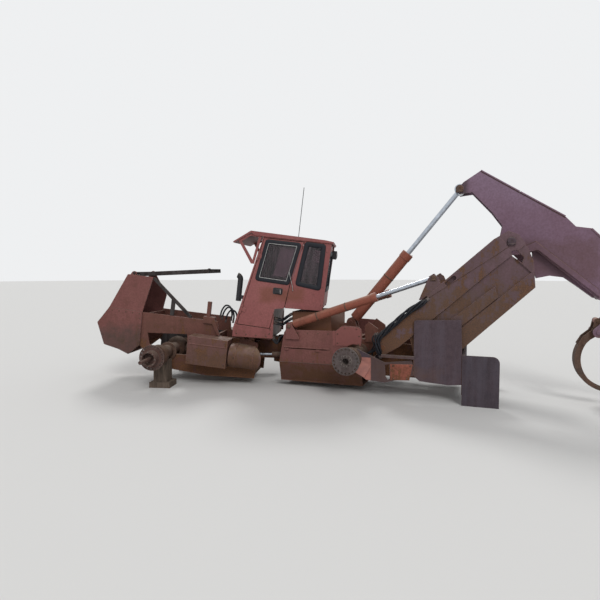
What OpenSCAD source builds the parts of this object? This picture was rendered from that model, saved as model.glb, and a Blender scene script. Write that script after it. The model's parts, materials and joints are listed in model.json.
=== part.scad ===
// Articulated grapple skidder, standing without its wheels.
// Millimetres, +Z up, the front end points to -X, the left side is -Y.
// Drawn with the rear axle over X = 0, then placed() puts the outline's middle over the origin.
// The ground is Z = 0.
// Front-half pieces are drawn straight and level, then turned as one by on_front().

/* [Stance] */
// Height of the centre hinge point over the ground
hinge_z = 560; // [400:10:700]
// Distance from the rear axle forward to the centre hinge
hinge_back = 1450; // [1300:10:1600]
// Nose-up lean of the front half, degrees
front_pitch = 6.5; // [0:0.5:9]
// Steering turn of the front half as parked, degrees, nose to the left
steer_rest = 14; // [0:1:20]

/* [Axles] */
// Rear axle centre over the ground
rear_axle_z = 600; // [500:10:800]
// Distance of a hub's flange face from the middle plane
hub_face_y = 1150; // [1000:10:1300]
// Wheel bolt flange, outside diameter
flange_d = 400; // [300:10:500]
// Wheel bolt flange, thickness
flange_t = 28; // [15:1:40]
// Wheel bolt circle, diameter
bolt_pcd = 350; // [250:5:450]
// Wheel bolts in a flange
bolt_count = 20; // [8:1:24]
// Wheel bolt hole, diameter
bolt_hole_d = 20; // [12:1:26]
// Bore in the hub's end, diameter
hub_bore_d = 96; // [40:2:140]
// Axle tube, outside diameter
axle_tube_d = 210; // [150:5:260]

/* [Rear half] */
// Half width of the rear side panels at the top
panel_y = 620; // [500:10:800]
// Half width of the rear side panels at the belly
belly_y = 430; // [300:10:600]
// Top edge of the rear side panels
panel_top_z = 950; // [800:10:1100]
// Belly of the rear half over the ground
belly_z = 110; // [60:5:250]
// Sheet thickness of panels
sheet = 16; // [8:1:30]
// Rear frame rails, half spacing to the outer faces
rail_y = 300; // [220:10:400]

/* [Arch and boom] */
// Arch pivot, X
arch_x = 430; // [300:10:600]
// Arch pivot, Z
arch_z = 750; // [600:10:900]
// Arch legs, middle of a leg from the middle plane
leg_y = 600; // [450:5:620]
// Arch leg width across
leg_w = 120; // [80:5:160]
// Boom pivot, X
boom_x = 2160; // [2000:10:2300]
// Boom pivot, Z
boom_z = 2290; // [2100:10:2400]
// Clear width between the boom's side plates
boom_gap = 240; // [180:10:320]
// Boom plate thickness
boom_t = 30; // [16:1:40]
// Grapple hanging pin, X
tip_x = 3620; // [3450:10:3800]
// Grapple hanging pin, Z
tip_z = 1700; // [1600:10:1900]

/* [Cylinders] */
// Boom cylinder barrel, diameter
boom_barrel_d = 172; // [110:5:180]
// Boom cylinder rod, diameter
boom_rod_d = 75; // [40:5:90]
// Arch cylinder barrel, diameter
arch_barrel_d = 128; // [90:5:140]
// Arch cylinder rod, diameter
arch_rod_d = 60; // [35:5:75]
// Steering cylinder barrel, diameter
steer_barrel_d = 80; // [60:5:100]
wing_stub = 440; // [200:10:460]

/* [Cab] */
// Half width of the cab
cab_y = 640; // [560:10:760]
// Thickness of the cab's walls and doors
wall = 40; // [25:1:60]
// Gap around a door
door_gap = 11; // [5:1:15]
// Mesh guard bars across a rear side window
mesh_cols = 6; // [3:1:12]
// Mesh guard bars up a rear side window
mesh_rows = 14; // [4:1:24]

/* [Front half] */
// Half width over the front frame's side plates
front_y = 450; // [350:10:520]
// Front frame side plate thickness
side_t = 30; // [16:1:40]
// Outer face of the side tanks from the middle plane
tank_y = 800; // [700:10:850]
// Front axle centre ahead of the rear one, before the front half is turned
wheelbase = 3300; // [3000:10:3600]
// Front axle centre height in the front half's own frame
front_axle_z = 330; // [250:10:500]

/* [Hidden] */
hinge = [-hinge_back, 0, hinge_z];
// middle of the whole outline, seen from above
centre = [-180, -405, 0];
eps = 0.3;
$fn = 48;

paint = [0.62, 0.2, 0.13];
rust = [0.4, 0.22, 0.14];
iron = [0.42, 0.4, 0.38];
chrome = [0.75, 0.76, 0.78];
black = [0.07, 0.07, 0.07];
timber = [0.42, 0.3, 0.2];
glass = [0.5, 0.6, 0.62];

// Helpers

// a flat shape in the X-Z plane, as thick as from y0 to y1
module slab(y0, y1) {
    translate([0, y1, 0]) rotate([90, 0, 0]) linear_extrude(y1 - y0) children();
}

// a round bar along Y
module bar_y(x, z, d, y0, y1) {
    translate([x, y1, z]) rotate([90, 0, 0]) cylinder(d = d, h = y1 - y0);
}

// both sides of a thing drawn on the left (-Y)
module both() {
    children();
    mirror([0, 1, 0]) children();
}

// moves a thing so that the outline's middle lies over the origin
module placed() {
    translate(-centre) children();
}

// puts a thing drawn straight and level into the front half's parked place
module on_front() {
    placed() translate(hinge) rotate([0, front_pitch, steer_rest]) translate(-hinge) children();
}

// turns a thing drawn from the origin along +X so that it runs from a to b in an X-Z plane
module along(a, b) {
    translate(a) rotate([0, -atan2(b[2] - a[2], b[0] - a[0]), 0]) children();
}

function span(a, b) = norm(b - a);

// Hinge between the halves

lug_r = 130;
pin_d = 90;
barrel_r = 85;
lug_t = 45;
lug_low = hinge_z - 230;
lug_high = hinge_z + 150;

module rear_hinge_lugs() {
    for (z = [lug_low, lug_high]) translate([hinge[0], 0, z]) linear_extrude(lug_t) {
        circle(r = lug_r);
        translate([0, -lug_r]) square([350, 2 * lug_r]);
    }
    translate([hinge[0], 0, lug_low - 25]) cylinder(d = pin_d, h = lug_high - lug_low + lug_t + 50);
}

// Rear half

rail_top = 720;
rail_low = 260;
rail_t = 30;
rail_front = -hinge_back + 330;
rail_rear = 1500;

ear_x = -190;
ear_z = 1055;
foot_z = rail_top + 75;
steer_base = [-hinge_back + 500, 220, hinge_z - 60];
steer_lug = [-hinge_back - 450, 360, hinge_z - 60];

module rear_frame() color(paint) placed() {
    both() slab(-rail_y, -rail_y + rail_t) difference() {
        polygon([[rail_front, rail_low], [rail_front, rail_top + 100], [-500, rail_top + 130],
            [rail_rear, rail_top], [rail_rear, rail_low]]);
        translate([0, rear_axle_z]) circle(d = axle_tube_d + 2 * eps);
        // window that the steering cylinder's barrel swings into
        translate([rail_front - 10, steer_base[2] - 58]) square([165, 116]);
    }
    // cross plates: behind the hinge, before and behind the axle, at the back
    for (x = [-430, 280, rail_rear - rail_t])
        translate([x, -rail_y + rail_t, rail_low]) cube([rail_t, 2 * (rail_y - rail_t), rail_top - rail_low]);
    // the plate behind the hinge is open where the steering cylinders pass
    difference() {
        translate([rail_front, -rail_y + rail_t, rail_low]) cube([rail_t, 2 * (rail_y - rail_t), rail_top + 80 - rail_low]);
        both() translate([rail_front - 10, -rail_y + rail_t - 5, steer_base[2] - 58]) cube([rail_t + 20, 170, 116]);
    }
    rear_hinge_lugs();
    // boom cylinder foot: two ears between the rails
    for (s = [-1, 1]) slab(s * 70 - 15, s * 70 + 15) {
        polygon([[ear_x - 130, foot_z], [ear_x - 72, ear_z + 10], [ear_x + 72, ear_z + 10],
            [ear_x + 150, foot_z]]);
        translate([ear_x, ear_z]) circle(r = 72);
    }
    translate([ear_x - 140, -rail_y + rail_t, foot_z]) cube([300, 2 * (rail_y - rail_t), 22]);
    bar_y(ear_x, ear_z, 60, -92, 92);
    // arch pivot tube across the frame
    bar_y(arch_x, arch_z, 150, -(leg_y - leg_w / 2 - 6), leg_y - leg_w / 2 - 6);
    bar_y(arch_x, arch_z, 90, -(leg_y + leg_w / 2 + 12), leg_y + leg_w / 2 + 12);
    // steering cylinder feet
    both() steer_foot();
    // oil tank across the rails, under the overhang of the cab
    difference() {
        translate([-1080, -oil_tank_y, 850 + eps]) cube([650, 2 * oil_tank_y, oil_tank_h]);
        translate([-1064, -oil_tank_y + sheet, 840]) cube([618, 2 * (oil_tank_y - sheet), oil_tank_h - 6]);
    }
    both() translate([-1080, -rail_y, 815]) cube([650, rail_t, 60]);
    // gusset between the boom's foot and the arch
    both() slab(-rail_y - 20, -rail_y + 10) polygon([[100, 772], [92, 1020], [150, 1090], [300, 990], [330, 772]]);
}

oil_tank_y = 430;
oil_tank_h = 380;
arch_base = [-1050, 0, 1021];
module arch_foot() {
    for (y = [-leg_y - 62, -leg_y + 40]) slab(y, y + 22) {
        polygon([[arch_base[0] - 60, panel_top_z - 120], [arch_base[0] - 54, arch_base[2]],
            [arch_base[0] + 54, arch_base[2]], [arch_base[0] + 170, panel_top_z - 120]]);
        translate([arch_base[0], arch_base[2]]) circle(r = 54);
    }
    bar_y(arch_base[0], arch_base[2], 50, -leg_y - 66, -leg_y + 66);
    translate([arch_base[0] - 60, -leg_y - 62, panel_top_z - 140]) cube([230, leg_y + 62 - rail_y - eps, 24]);
}

module steer_foot() {
    for (z = [steer_base[2] - 62, steer_base[2] + 42]) translate([steer_base[0] - 60, -rail_y + rail_t - 5, z])
        cube([120, 120, 20]);
    translate([steer_base[0], -steer_base[1], steer_base[2] - 64]) cylinder(d = 40, h = 128);
}

module rear_panel_left() {
    // upper sheet with the ear that stands up over the axle
    slab(-panel_y, -panel_y + sheet) difference() {
        polygon([[-1150, panel_top_z - 40], [-1120, panel_top_z], [-300, panel_top_z + 15], [-215, 1035],
            [-180, 1050], [60, 1040], [105, 1000], [120, 860], [95, 720], [0, 440], [-1235, 430]]);
        translate([0, rear_axle_z]) circle(d = axle_tube_d + 130);
        // dark slot under the hatch's ledge
        translate([-1120, 652]) square([690, 14]);
    }
    // ledge over the slot, two latches, and the plate that doubles the ear
    slab(-panel_y - 14, -panel_y + 4) translate([-1150, 668]) square([760, 16]);
    for (x = [-1128, -612]) slab(-panel_y - 20, -panel_y + 4) translate([x, 626]) square([60, 34]);
    slab(-panel_y - 8, -panel_y + 4) difference() {
        polygon([[-296, 738], [-296, 955], [-222, 1025], [-178, 1038], [58, 1030], [95, 994], [108, 860], [90, 738]]);
        translate([0, rear_axle_z]) circle(d = axle_tube_d + 140);
    }
    // sloping lower sheet
    difference() {
        hull() {
            translate([-1235, -panel_y, 431]) cube([1330, sheet, 6]);
            translate([-1280, -belly_y, belly_z]) cube([1370, sheet, 6]);
        }
        translate([0, -panel_y - 10, rear_axle_z]) rotate([-90, 0, 0]) cylinder(d = axle_tube_d + 130, h = 400);
    }
    // end sheets that tie the panel to the rail
    difference() {
        translate([-1130, -panel_y + sheet, 440]) cube([sheet, panel_y - rail_y - sheet, 490]);
        translate([-1140, -rail_y - 110, steer_base[2] - 58]) cube([40, 140, 116]);
    }
    translate([-330, -panel_y + sheet, 440]) cube([sheet, panel_y - rail_y - sheet, 500]);
    // deck over the tank box
    translate([-1130, -panel_y + sheet, panel_top_z - 116]) cube([815, panel_y - rail_y - sheet, sheet]);
}

module rear_panels() color(paint) placed() {
    both() {
        rear_panel_left();
        arch_foot();
    }
    translate([-1280, -belly_y, belly_z - sheet]) cube([1370, 2 * belly_y, sheet]);
    both() translate([-1130, -belly_y + sheet, belly_z]) cube([sheet, belly_y - rail_y - sheet, 330]);
    translate([-1130, -belly_y + sheet, belly_z]) cube([sheet, 2 * (belly_y - sheet), rail_low - belly_z]);
    translate([-330, -belly_y + sheet, belly_z]) cube([sheet, 2 * (belly_y - sheet), rail_low - belly_z]);
}

drum_d = 330;
module rear_axle() color(rust) placed() {
    y1 = hub_face_y - 190;
    both() {
        bar_y(0, rear_axle_z, axle_tube_d, -y1, -120);
        bar_y(0, rear_axle_z, drum_d, -y1, -y1 + 110);
        // flange that bolts the axle to the rail
        bar_y(0, rear_axle_z, axle_tube_d + 90, -rail_y - 30, -rail_y - eps);
    }
    translate([0, 0, rear_axle_z]) sphere(r = 190);
    translate([-340, 0, rear_axle_z]) rotate([0, 90, 0]) cylinder(d = 170, h = 300);
}

// Hubs: drawn at the origin, flange face towards -Y
hub_inner = 189.5;
module hub() {
    rotate([-90, 0, 0]) difference() {
        union() {
            cylinder(d = flange_d, h = flange_t);
            cylinder(d = flange_d - 130, h = hub_inner);
            translate([0, 0, -6]) cylinder(d = 190, h = 20);
        }
        translate([0, 0, -10]) cylinder(d = hub_bore_d, h = 120);
        for (k = [0 : bolt_count - 1]) rotate(k * 360 / bolt_count) translate([bolt_pcd / 2, 0, -1])
            cylinder(d = bolt_hole_d, h = flange_t + 2);
    }
}

module hub_rear_left() color(iron) placed() translate([0, -hub_face_y, rear_axle_z]) hub();
module hub_rear_right() color(iron) placed() mirror([0, 1, 0]) translate([0, -hub_face_y, rear_axle_z]) hub();

tower_y = 700;
butt_x = 1560;
module tower_plates() color(rust) placed() {
    both() {
        slab(-tower_y, -tower_y + 25) polygon([[895, 370], [895, 1165], [925, 1180], [1530, 1205],
            [1540, 1195], [butt_x - eps, 690], [butt_x - eps, 290], [1380, 270], [980, 300]]);
        // gusset below the arch foot, and the slanting pad beside the hub
        slab(-tower_y, -tower_y + 25) difference() {
            polygon([[60, 380], [60, 720], [330, 600], [480, 540], [870, 590], [895, 480], [895, 370],
                [480, 240], [200, 260]]);
            translate([0, rear_axle_z]) circle(d = axle_tube_d + 2 * eps);
            polygon([[478, 505], [545, 520], [552, 300], [520, 280], [490, 330]]);
        }
        // channel along the gusset's top and the pad that slants up beside the hub
        slab(-tower_y - 45, -tower_y + 15) polygon([[420, 622], [430, 662], [905, 656], [905, 616]]);
        translate([26, -tower_y + 2, 378]) rotate([0, 27.6, 0]) rotate([90, 0, 90]) linear_extrude(176)
            polygon([[0, 0], [-62, 6], [-62, 20], [0, 205]]);
        translate([300, -tower_y + 25, 380]) cube([25, tower_y - rail_y - 25, 230]);
        translate([1380, -tower_y + 25, 300]) cube([25, tower_y - rail_y - 25, 280]);
        translate([895, -tower_y + 25, 340]) cube([25, tower_y - rail_y - 25, 200]);
    }
}

module butt_plate() color(rust) placed() {
    translate([butt_x, -620, 130]) cube([30, 1240, 560]);
    // the left wing is whole, the right one is cut down to what the left one hides
    slab(-tower_y - 15, -tower_y + 10) {
        translate([butt_x, 0]) square([490, 620]);
        translate([butt_x, 0]) square([400, 710]);
        translate([butt_x + 400, 620]) circle(r = 90);
    }
    slab(tower_y - 10, tower_y + 15) translate([butt_x, 0]) square([wing_stub, wing_stub]);
    both() translate([butt_x, -tower_y, 130]) cube([30, tower_y - 600, 560]);
}

// Arch: legs drawn along the line from its pivot to the boom's pivot
leg_len = span([arch_x, 0, arch_z], [boom_x, 0, boom_z]);
arch_eye = [1150, 0, 1790];
// pockets in the leg's strip: place along the leg, height above its line
leg_slots = [[900, 138], [1377, 112]];

module arch_leg() {
    y0 = -leg_y - leg_w / 2;
    y1 = -leg_y + leg_w / 2;
    difference() {
        union() {
            along([arch_x, 0, arch_z], [boom_x, 0, boom_z]) {
                slab(y0, y1) polygon([[-90, -90], [-110, 0], [-60, 100], [200, 165], [leg_len - 150, 170],
                    [leg_len + 60, 130], [leg_len + 124, 0], [leg_len + 100, -150], [leg_len - 130, -150],
                    [leg_len - 400, -140], [200, -145]]);
                // strip that doubles the leg's upper edge, wider towards the boom
                slab(y0 - 12, y0 + 30) polygon([[650, 158], [986, 128], [leg_len - 233, -17], [leg_len - 76, -30],
                    [leg_len - 76, 130], [leg_len - 150, 162]]);
                // thin web under the leg
                slab(y0 + 45, y1 - 45) polygon([[420, -100], [300, -330], [480, -660], [855, -716],
                    [leg_len - 186, -664], [leg_len + 24, -383], [leg_len + 90, -200], [leg_len + 80, -60]]);
                // two bars along the web, with the dark band of the web between them and the leg
                slab(y0 + 12, y1 - 12) polygon([[560, -290], [leg_len - 560, -330], [leg_len - 620, -470], [520, -462]]);
                slab(y0 + 24, y1 - 24) polygon([[474, -490], [leg_len - 90, -484], [leg_len + 30, -383],
                    [leg_len - 183, -670], [856, -722], [474, -664]]);
                // end plate that closes the web under the boom's shaft
                slab(y0 + 20, y1 - 20) polygon([[leg_len - 120, -140], [leg_len + 94, -140], [leg_len + 92, -206],
                    [leg_len + 20, -400], [leg_len - 90, -500]]);
            }
            arch_eye_lugs(y0, y1);
        }
        bar_y(arch_x, arch_z, 90 + 2 * eps, y0 - 50, y1 + 50);
        bar_y(boom_x, boom_z, shaft_d + 2 * eps, y0 - 50, y1 + 50);
        along([arch_x, 0, arch_z], [boom_x, 0, boom_z]) {
            // hole behind the shaft, and two long pockets in the strip
            slab(y0 - 50, y1 + 50) polygon([[leg_len - 97, -100], [leg_len - 30, -134], [leg_len - 27, -270],
                [leg_len - 95, -315], [leg_len - 124, -156]]);
            for (p = leg_slots) slab(y0 - 50, y0 + 48) {
                translate([p[0] - 60, p[1]]) circle(r = 32);
                translate([p[0] + 60, p[1]]) circle(r = 32);
                translate([p[0] - 60, p[1] - 32]) square([120, 64]);
            }
        }
    }
}

module arch_eye_lugs(y0, y1) {
    for (y = [y0, y1 - 20]) slab(y, y + 20)
        polygon([[arch_eye[0] - 200, arch_eye[2] - 320], [arch_eye[0] - 60, arch_eye[2] + 20],
            [arch_eye[0], arch_eye[2] + 58], [arch_eye[0] + 58, arch_eye[2] + 10], [arch_eye[0] + 120, arch_eye[2] - 130],
            [arch_eye[0] + 60, arch_eye[2] - 330]]);
}

module arch() color(paint) placed() {
    both() arch_leg();
    // cross tubes between the legs
    along([arch_x, 0, arch_z], [boom_x, 0, boom_z]) {
        bar_y(620, 0, 190, -leg_y + 30, leg_y - 30);
        bar_y(900, -620, 190, -leg_y + 30, leg_y - 30);
    }
}

// the shaft that carries the boom between the arch's legs
shaft_d = 110;
module boom_shaft() color(iron) placed() {
    bar_y(boom_x, boom_z, shaft_d, -leg_y - leg_w / 2 - 14, leg_y + leg_w / 2 + 14);
}

// Boom: two side plates with flanges
boom_eye = [1460, 0, 3100];
tip = [tip_x, tip_z];
module boom_outline() {
    eye = [boom_eye[0], boom_eye[2]];
    root = [boom_x, boom_z];
    polygon([eye + [-40, -20], eye + [50, 90], eye + [290, 245], root + [120, 720], root + [710, 350],
        root + [840, 210], tip + [-430, 770], tip + [-60, 380], tip + [70, 100], tip + [80, -10],
        tip + [0, -80], tip + [-100, -60], tip + [-290, -220], root + [360, -120], root + [140, -170],
        root + [0, -170], root + [-120, -90], root + [-140, 30], root + [-100, 250], eye + [455, -360],
        eye + [180, -60], eye + [70, -70], eye + [0, -80]]);
}

module boom() color(paint) placed() {
    difference() {
        for (s = [-1, 1]) slab(s * (boom_gap + boom_t) / 2 - boom_t / 2, s * (boom_gap + boom_t) / 2 + boom_t / 2)
            boom_outline();
        bar_y(boom_x, boom_z, shaft_d + 2 * eps, -400, 400);
    }
    y1 = boom_gap / 2 + eps;
    // pivot tube round the arch's top shaft
    difference() {
        bar_y(boom_x, boom_z, 190, -leg_y + 75, leg_y - 75);
        bar_y(boom_x, boom_z, shaft_d + 2 * eps, -leg_y, leg_y);
    }
    // top flange behind the crest, and lower flange
    along([2000, 0, 3180], [2870, 0, 2640]) translate([0, -y1, -45]) cube([1000, 2 * y1, 30]);
    low_a = [boom_x + 360, 0, boom_z - 115];
    low_b = [tip_x - 290, 0, tip_z - 215];
    along(low_a, low_b) translate([0, -y1, 0]) cube([span(low_a, low_b), 2 * y1, 30]);
    top_a = [tip_x - 430, 0, tip_z + 765];
    top_b = [tip_x - 60, 0, tip_z + 380];
    along(top_a, top_b) translate([0, -y1, -32]) cube([span(top_a, top_b) - 4, 2 * y1, 30]);
    bar_y(tip_x, tip_z, 60, -boom_gap / 2 - boom_t - 12, boom_gap / 2 + boom_t + 12);
    // lower chord stands proud of the side plates
    y2 = boom_gap / 2 + boom_t;
    root = [boom_x, boom_z];
    both() slab(-y2 - 28, -y2 + 10) polygon([root + [150, -150], root + [230, -40], root + [345, 10],
        tip + [-330, -60], tip + [-305, -170], root + [372, -104]]);
    // belly plate under the knee
    slab(-62, 62) polygon([root + [300, 20], root + [330, -380], root + [372, -508], root + [540, -471],
        root + [727, -496], root + [870, -600], tip + [-360, -190], tip + [-340, -60]]);
    // lips of the top plates
    for (e = [[[boom_eye[0] + 290, 0, boom_eye[2] + 245], [boom_x + 120, 0, boom_z + 720]],
            [[boom_x + 120, 0, boom_z + 720], [boom_x + 710, 0, boom_z + 350]], [top_a, top_b]])
        along(e[0], e[1]) translate([2, -y2 - 12, -6]) cube([span(e[0], e[1]) - 8, 2 * (y2 + 12), 18]);
    // bosses beside the rod eye
    both() bar_y(boom_eye[0], boom_eye[2], 110, -boom_gap / 2 - boom_t - 20, -boom_gap / 2);
}

// Cylinders: barrel from its foot eye at a, rod to its eye at b
module barrel(a, b, d, len, eye_w, pin, rod_d) {
    start = pin / 2 + 50;
    along(a, b) difference() {
        union() {
            bar_y(0, 0, pin + 46, -eye_w / 2, eye_w / 2);
            translate([pin / 2 + 6, 0, 0]) rotate([0, 90, 0]) cylinder(d = d * 0.6, h = 60);
            translate([start, 0, 0]) rotate([0, 90, 0]) cylinder(d = d, h = len - start);
            translate([len - d * 0.6, 0, 0]) rotate([0, 90, 0]) cylinder(d = d + 16, h = d * 0.6);
        }
        bar_y(0, 0, pin + 2 * eps, -eye_w, eye_w);
        translate([start + 15, 0, 0]) rotate([0, 90, 0]) cylinder(d = rod_d + 2 * eps, h = len);
    }
}

// the rod starts inside the barrel, its pin turns with its eye
module rod(a, b, d, len, inside, eye_w, eye_d) {
    full = span(a, b);
    along(a, b) {
        translate([len - inside, 0, 0]) rotate([0, 90, 0]) cylinder(d = d, h = full - len + inside - eye_d / 2 + 8);
        bar_y(full, 0, eye_d, -eye_w / 2, eye_w / 2);
    }
}

boom_base = [ear_x, 0, ear_z];
boom_barrel_len = 1420;
arch_barrel_len = 1460;
module boom_barrel() color(paint) placed() barrel(boom_base, boom_eye, boom_barrel_d, boom_barrel_len, 96, 60, boom_rod_d);
module boom_rod() color(chrome) placed()
    rod(boom_base, boom_eye, boom_rod_d, boom_barrel_len, 200, boom_gap - 12, 150);
module arch_barrel_left() color(paint) placed() translate([0, -leg_y, 0])
    barrel(arch_base, arch_eye, arch_barrel_d, arch_barrel_len, 70, 50, arch_rod_d);
module arch_barrel_right() color(paint) placed() translate([0, leg_y, 0])
    barrel(arch_base, arch_eye, arch_barrel_d, arch_barrel_len, 70, 50, arch_rod_d);
module arch_rod_left() color(chrome) placed() translate([0, -leg_y, 0])
    rod(arch_base, arch_eye, arch_rod_d, arch_barrel_len, 200, 68, 92);
module arch_rod_right() color(chrome) placed() translate([0, leg_y, 0])
    rod(arch_base, arch_eye, arch_rod_d, arch_barrel_len, 200, 68, 92);

// Steering cylinders run flat between the halves
steer_barrel_len = 536;
steer_rod_len = 640;
function turned(p) = [hinge[0] + (p[0] - hinge[0]) * cos(steer_rest) - p[1] * sin(steer_rest),
    (p[0] - hinge[0]) * sin(steer_rest) + p[1] * cos(steer_rest), p[2]];

module steer_cylinder(side, part) {
    a = [steer_base[0], side * steer_base[1], steer_base[2]];
    b = turned([steer_lug[0], side * steer_lug[1], steer_lug[2]]);
    len = norm(b - a);
    translate(a) rotate([0, 0, atan2(b[1] - a[1], b[0] - a[0])]) {
        if (part == "barrel") difference() {
            union() {
                translate([0, 0, -38]) cylinder(d = 84, h = 76);
                translate([36, 0, 0]) rotate([0, 90, 0]) cylinder(d = steer_barrel_d, h = steer_barrel_len - 36);
            }
            translate([0, 0, -50]) cylinder(d = 40 + 2 * eps, h = 100);
            translate([55, 0, 0]) rotate([0, 90, 0]) cylinder(d = 40 + 2 * eps, h = steer_barrel_len);
        }
        if (part == "rod") {
            translate([len - steer_rod_len, 0, 0]) rotate([0, 90, 0]) cylinder(d = 40, h = steer_rod_len - 30);
            translate([len, 0, -34]) cylinder(d = 76, h = 68);
        }
    }
}
module steer_barrel_left() color(rust) placed() steer_cylinder(-1, "barrel");
module steer_barrel_right() color(rust) placed() steer_cylinder(1, "barrel");
module steer_rod_left() color(chrome) placed() steer_cylinder(-1, "rod");
module steer_rod_right() color(chrome) placed() steer_cylinder(1, "rod");

// Grapple: hangs from the boom tip
module grapple_link() color(rust) placed() difference() {
    union() {
        bar_y(tip_x, tip_z, 120, -boom_gap / 2 + 8, boom_gap / 2 - 8);
        translate([tip_x - 45, -60, tip_z - 230]) cube([90, 120, 230]);
        translate([tip_x, 0, tip_z - 300]) cylinder(d = 220, h = 110);
    }
    bar_y(tip_x, tip_z, 62, -300, 300);
}

grapple_z = tip_z - 300.5;
tong_x = 300;
tong_z = grapple_z - 360;
tong_ear = 150;
module grapple_head() color(paint) placed() {
    translate([tip_x, 0, grapple_z - 72]) cylinder(d = 260, h = 72);
    translate([tip_x - 150, -170, grapple_z - 100]) cube([300, 340, 30]);
    both() slab(-170, -140) {
        polygon([[tip_x - 150, grapple_z - 80], [tip_x + 150, grapple_z - 80], [tip_x + tong_x + 60, tong_z + 40],
            [tip_x + tong_x, tong_z - 60], [tip_x + tong_x - 60, tong_z - 20], [tip_x, tong_z + 20],
            [tip_x - tong_x + 60, tong_z - 20], [tip_x - tong_x, tong_z - 60], [tip_x - tong_x - 60, tong_z + 40]]);
        for (side = [-1, 1]) translate([tip_x + side * tong_x, tong_z]) circle(r = 72);
    }
    for (side = [-1, 1]) bar_y(tip_x + side * tong_x, tong_z, 60, -182, 182);
}

// a tong's side plate: a crescent between two circles, with a boss and an ear for the cylinder
module tong_plate() {
    difference() {
        translate([-165, -390]) circle(r = 440, $fn = 96);
        translate([-225, -385]) circle(r = 423, $fn = 96);
        translate([-1000, -1000]) square([760, 1400]);
        translate([-1000, -300]) square([1000, 700]);
    }
    circle(r = 72);
    translate([0, tong_ear]) circle(r = 42);
    polygon([[-42, tong_ear], [-68, 20], [-30, -62], [60, -62], [68, 20], [42, tong_ear]]);
    polygon([[20, -60], [60, 40], [180, -70], [240, -180], [170, -200], [90, -110]]);
}

module tong() difference() {
    union() {
        both() slab(-100, -75) tong_plate();
        // outer skin between the side plates
        slab(-76, 76) difference() {
            translate([-165, -390]) circle(r = 440, $fn = 96);
            translate([-165, -390]) circle(r = 424, $fn = 96);
            translate([-1000, -1000]) square([760, 1400]);
            translate([-1000, -200]) square([2000, 700]);
        }
        bar_y(0, 0, 110, -134, 134);
        both() bar_y(0, tong_ear, 40, -110, -76);
    }
    bar_y(0, 0, 60 + 2 * eps, -200, 200);
}
module tong_right() color(rust) placed() translate([tip_x + tong_x, 0, tong_z]) tong();
module tong_left() color(rust) placed() translate([tip_x - tong_x, 0, tong_z]) mirror([1, 0, 0]) {
    tong();
    bar_y(0, tong_ear, 40, -80, 80);
}
tong_a = [tip_x - tong_x, 0, tong_z + tong_ear];
tong_b = [tip_x + tong_x, 0, tong_z + tong_ear];
module tong_barrel() color(paint) placed() barrel(tong_a, tong_b, 96, 340, 130, 40, 50);
module tong_rod() color(chrome) placed() rod(tong_a, tong_b, 50, 340, 35, 130, 80);

// Front half, straight and level

module front_frame() color(paint) {
    on_front() {
        both() slab(-front_y, -front_y + side_t) difference() {
            polygon([[-3830, 925], [-2500, 930], [-2470, 690], [-1900, 690], [-1790, 640], [-1790, 60],
                [-2600, 0], [-3420, 40], [-3810, 360]]);
            polygon([[-3690, 590], [-3000, 650], [-2960, 300], [-3400, 280], [-3640, 400]]);
            translate([-wheelbase, front_axle_z]) circle(d = axle_tube_d + 2 * eps);
        }
        for (x = [-3780, -2560]) translate([x, -front_y + side_t - 5, 404])
            cube([30, 2 * (front_y - side_t + 5), x < -3000 ? 500 : 276]);
        // the plate before the hinge is open where the steering rods pass
        difference() {
            translate([-1850, -front_y + side_t - 5, 344]) cube([30, 2 * (front_y - side_t + 5), 316]);
            both() translate([-1860, -front_y + side_t - 10, steer_lug[2] - 106]) cube([50, 145, 166]);
        }
        translate([-3290, -front_y + side_t - 5, 66]) cube([1460, 2 * (front_y - side_t + 5), 20]);
        // post and block at the back of the rail
        translate([-2740, -front_y - 40, 880]) cube([190, 110, 110]);
        translate([-2700, -front_y - 10, 980]) cube([60, 60, 260]);
        slab(-front_y - 40, -front_y + 5) polygon([[-2640, 985], [-2480, 700], [-2440, 700], [-2560, 985]]);
    }
    // hinge barrel stands upright on the common axis
    placed() translate([hinge[0], 0, lug_low + lug_t + 8]) rotate(steer_rest)
        linear_extrude(lug_high - lug_low - lug_t - 16) difference() {
            union() {
                circle(r = barrel_r);
                translate([-420, -60]) square([400, 120]);
            }
            circle(d = pin_d + 2 * eps);
        }
    // steering cylinder lugs
    placed() for (s = [-1, 1]) {
        b = turned([steer_lug[0], s * steer_lug[1], steer_lug[2]]);
        for (z = [-64, 44]) translate([b[0], b[1], b[2] + z]) rotate(steer_rest) linear_extrude(20) {
            circle(d = 100);
            translate([-62, s > 0 ? -15 : -76]) square([70, 91]);
        }
    }
}

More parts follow.
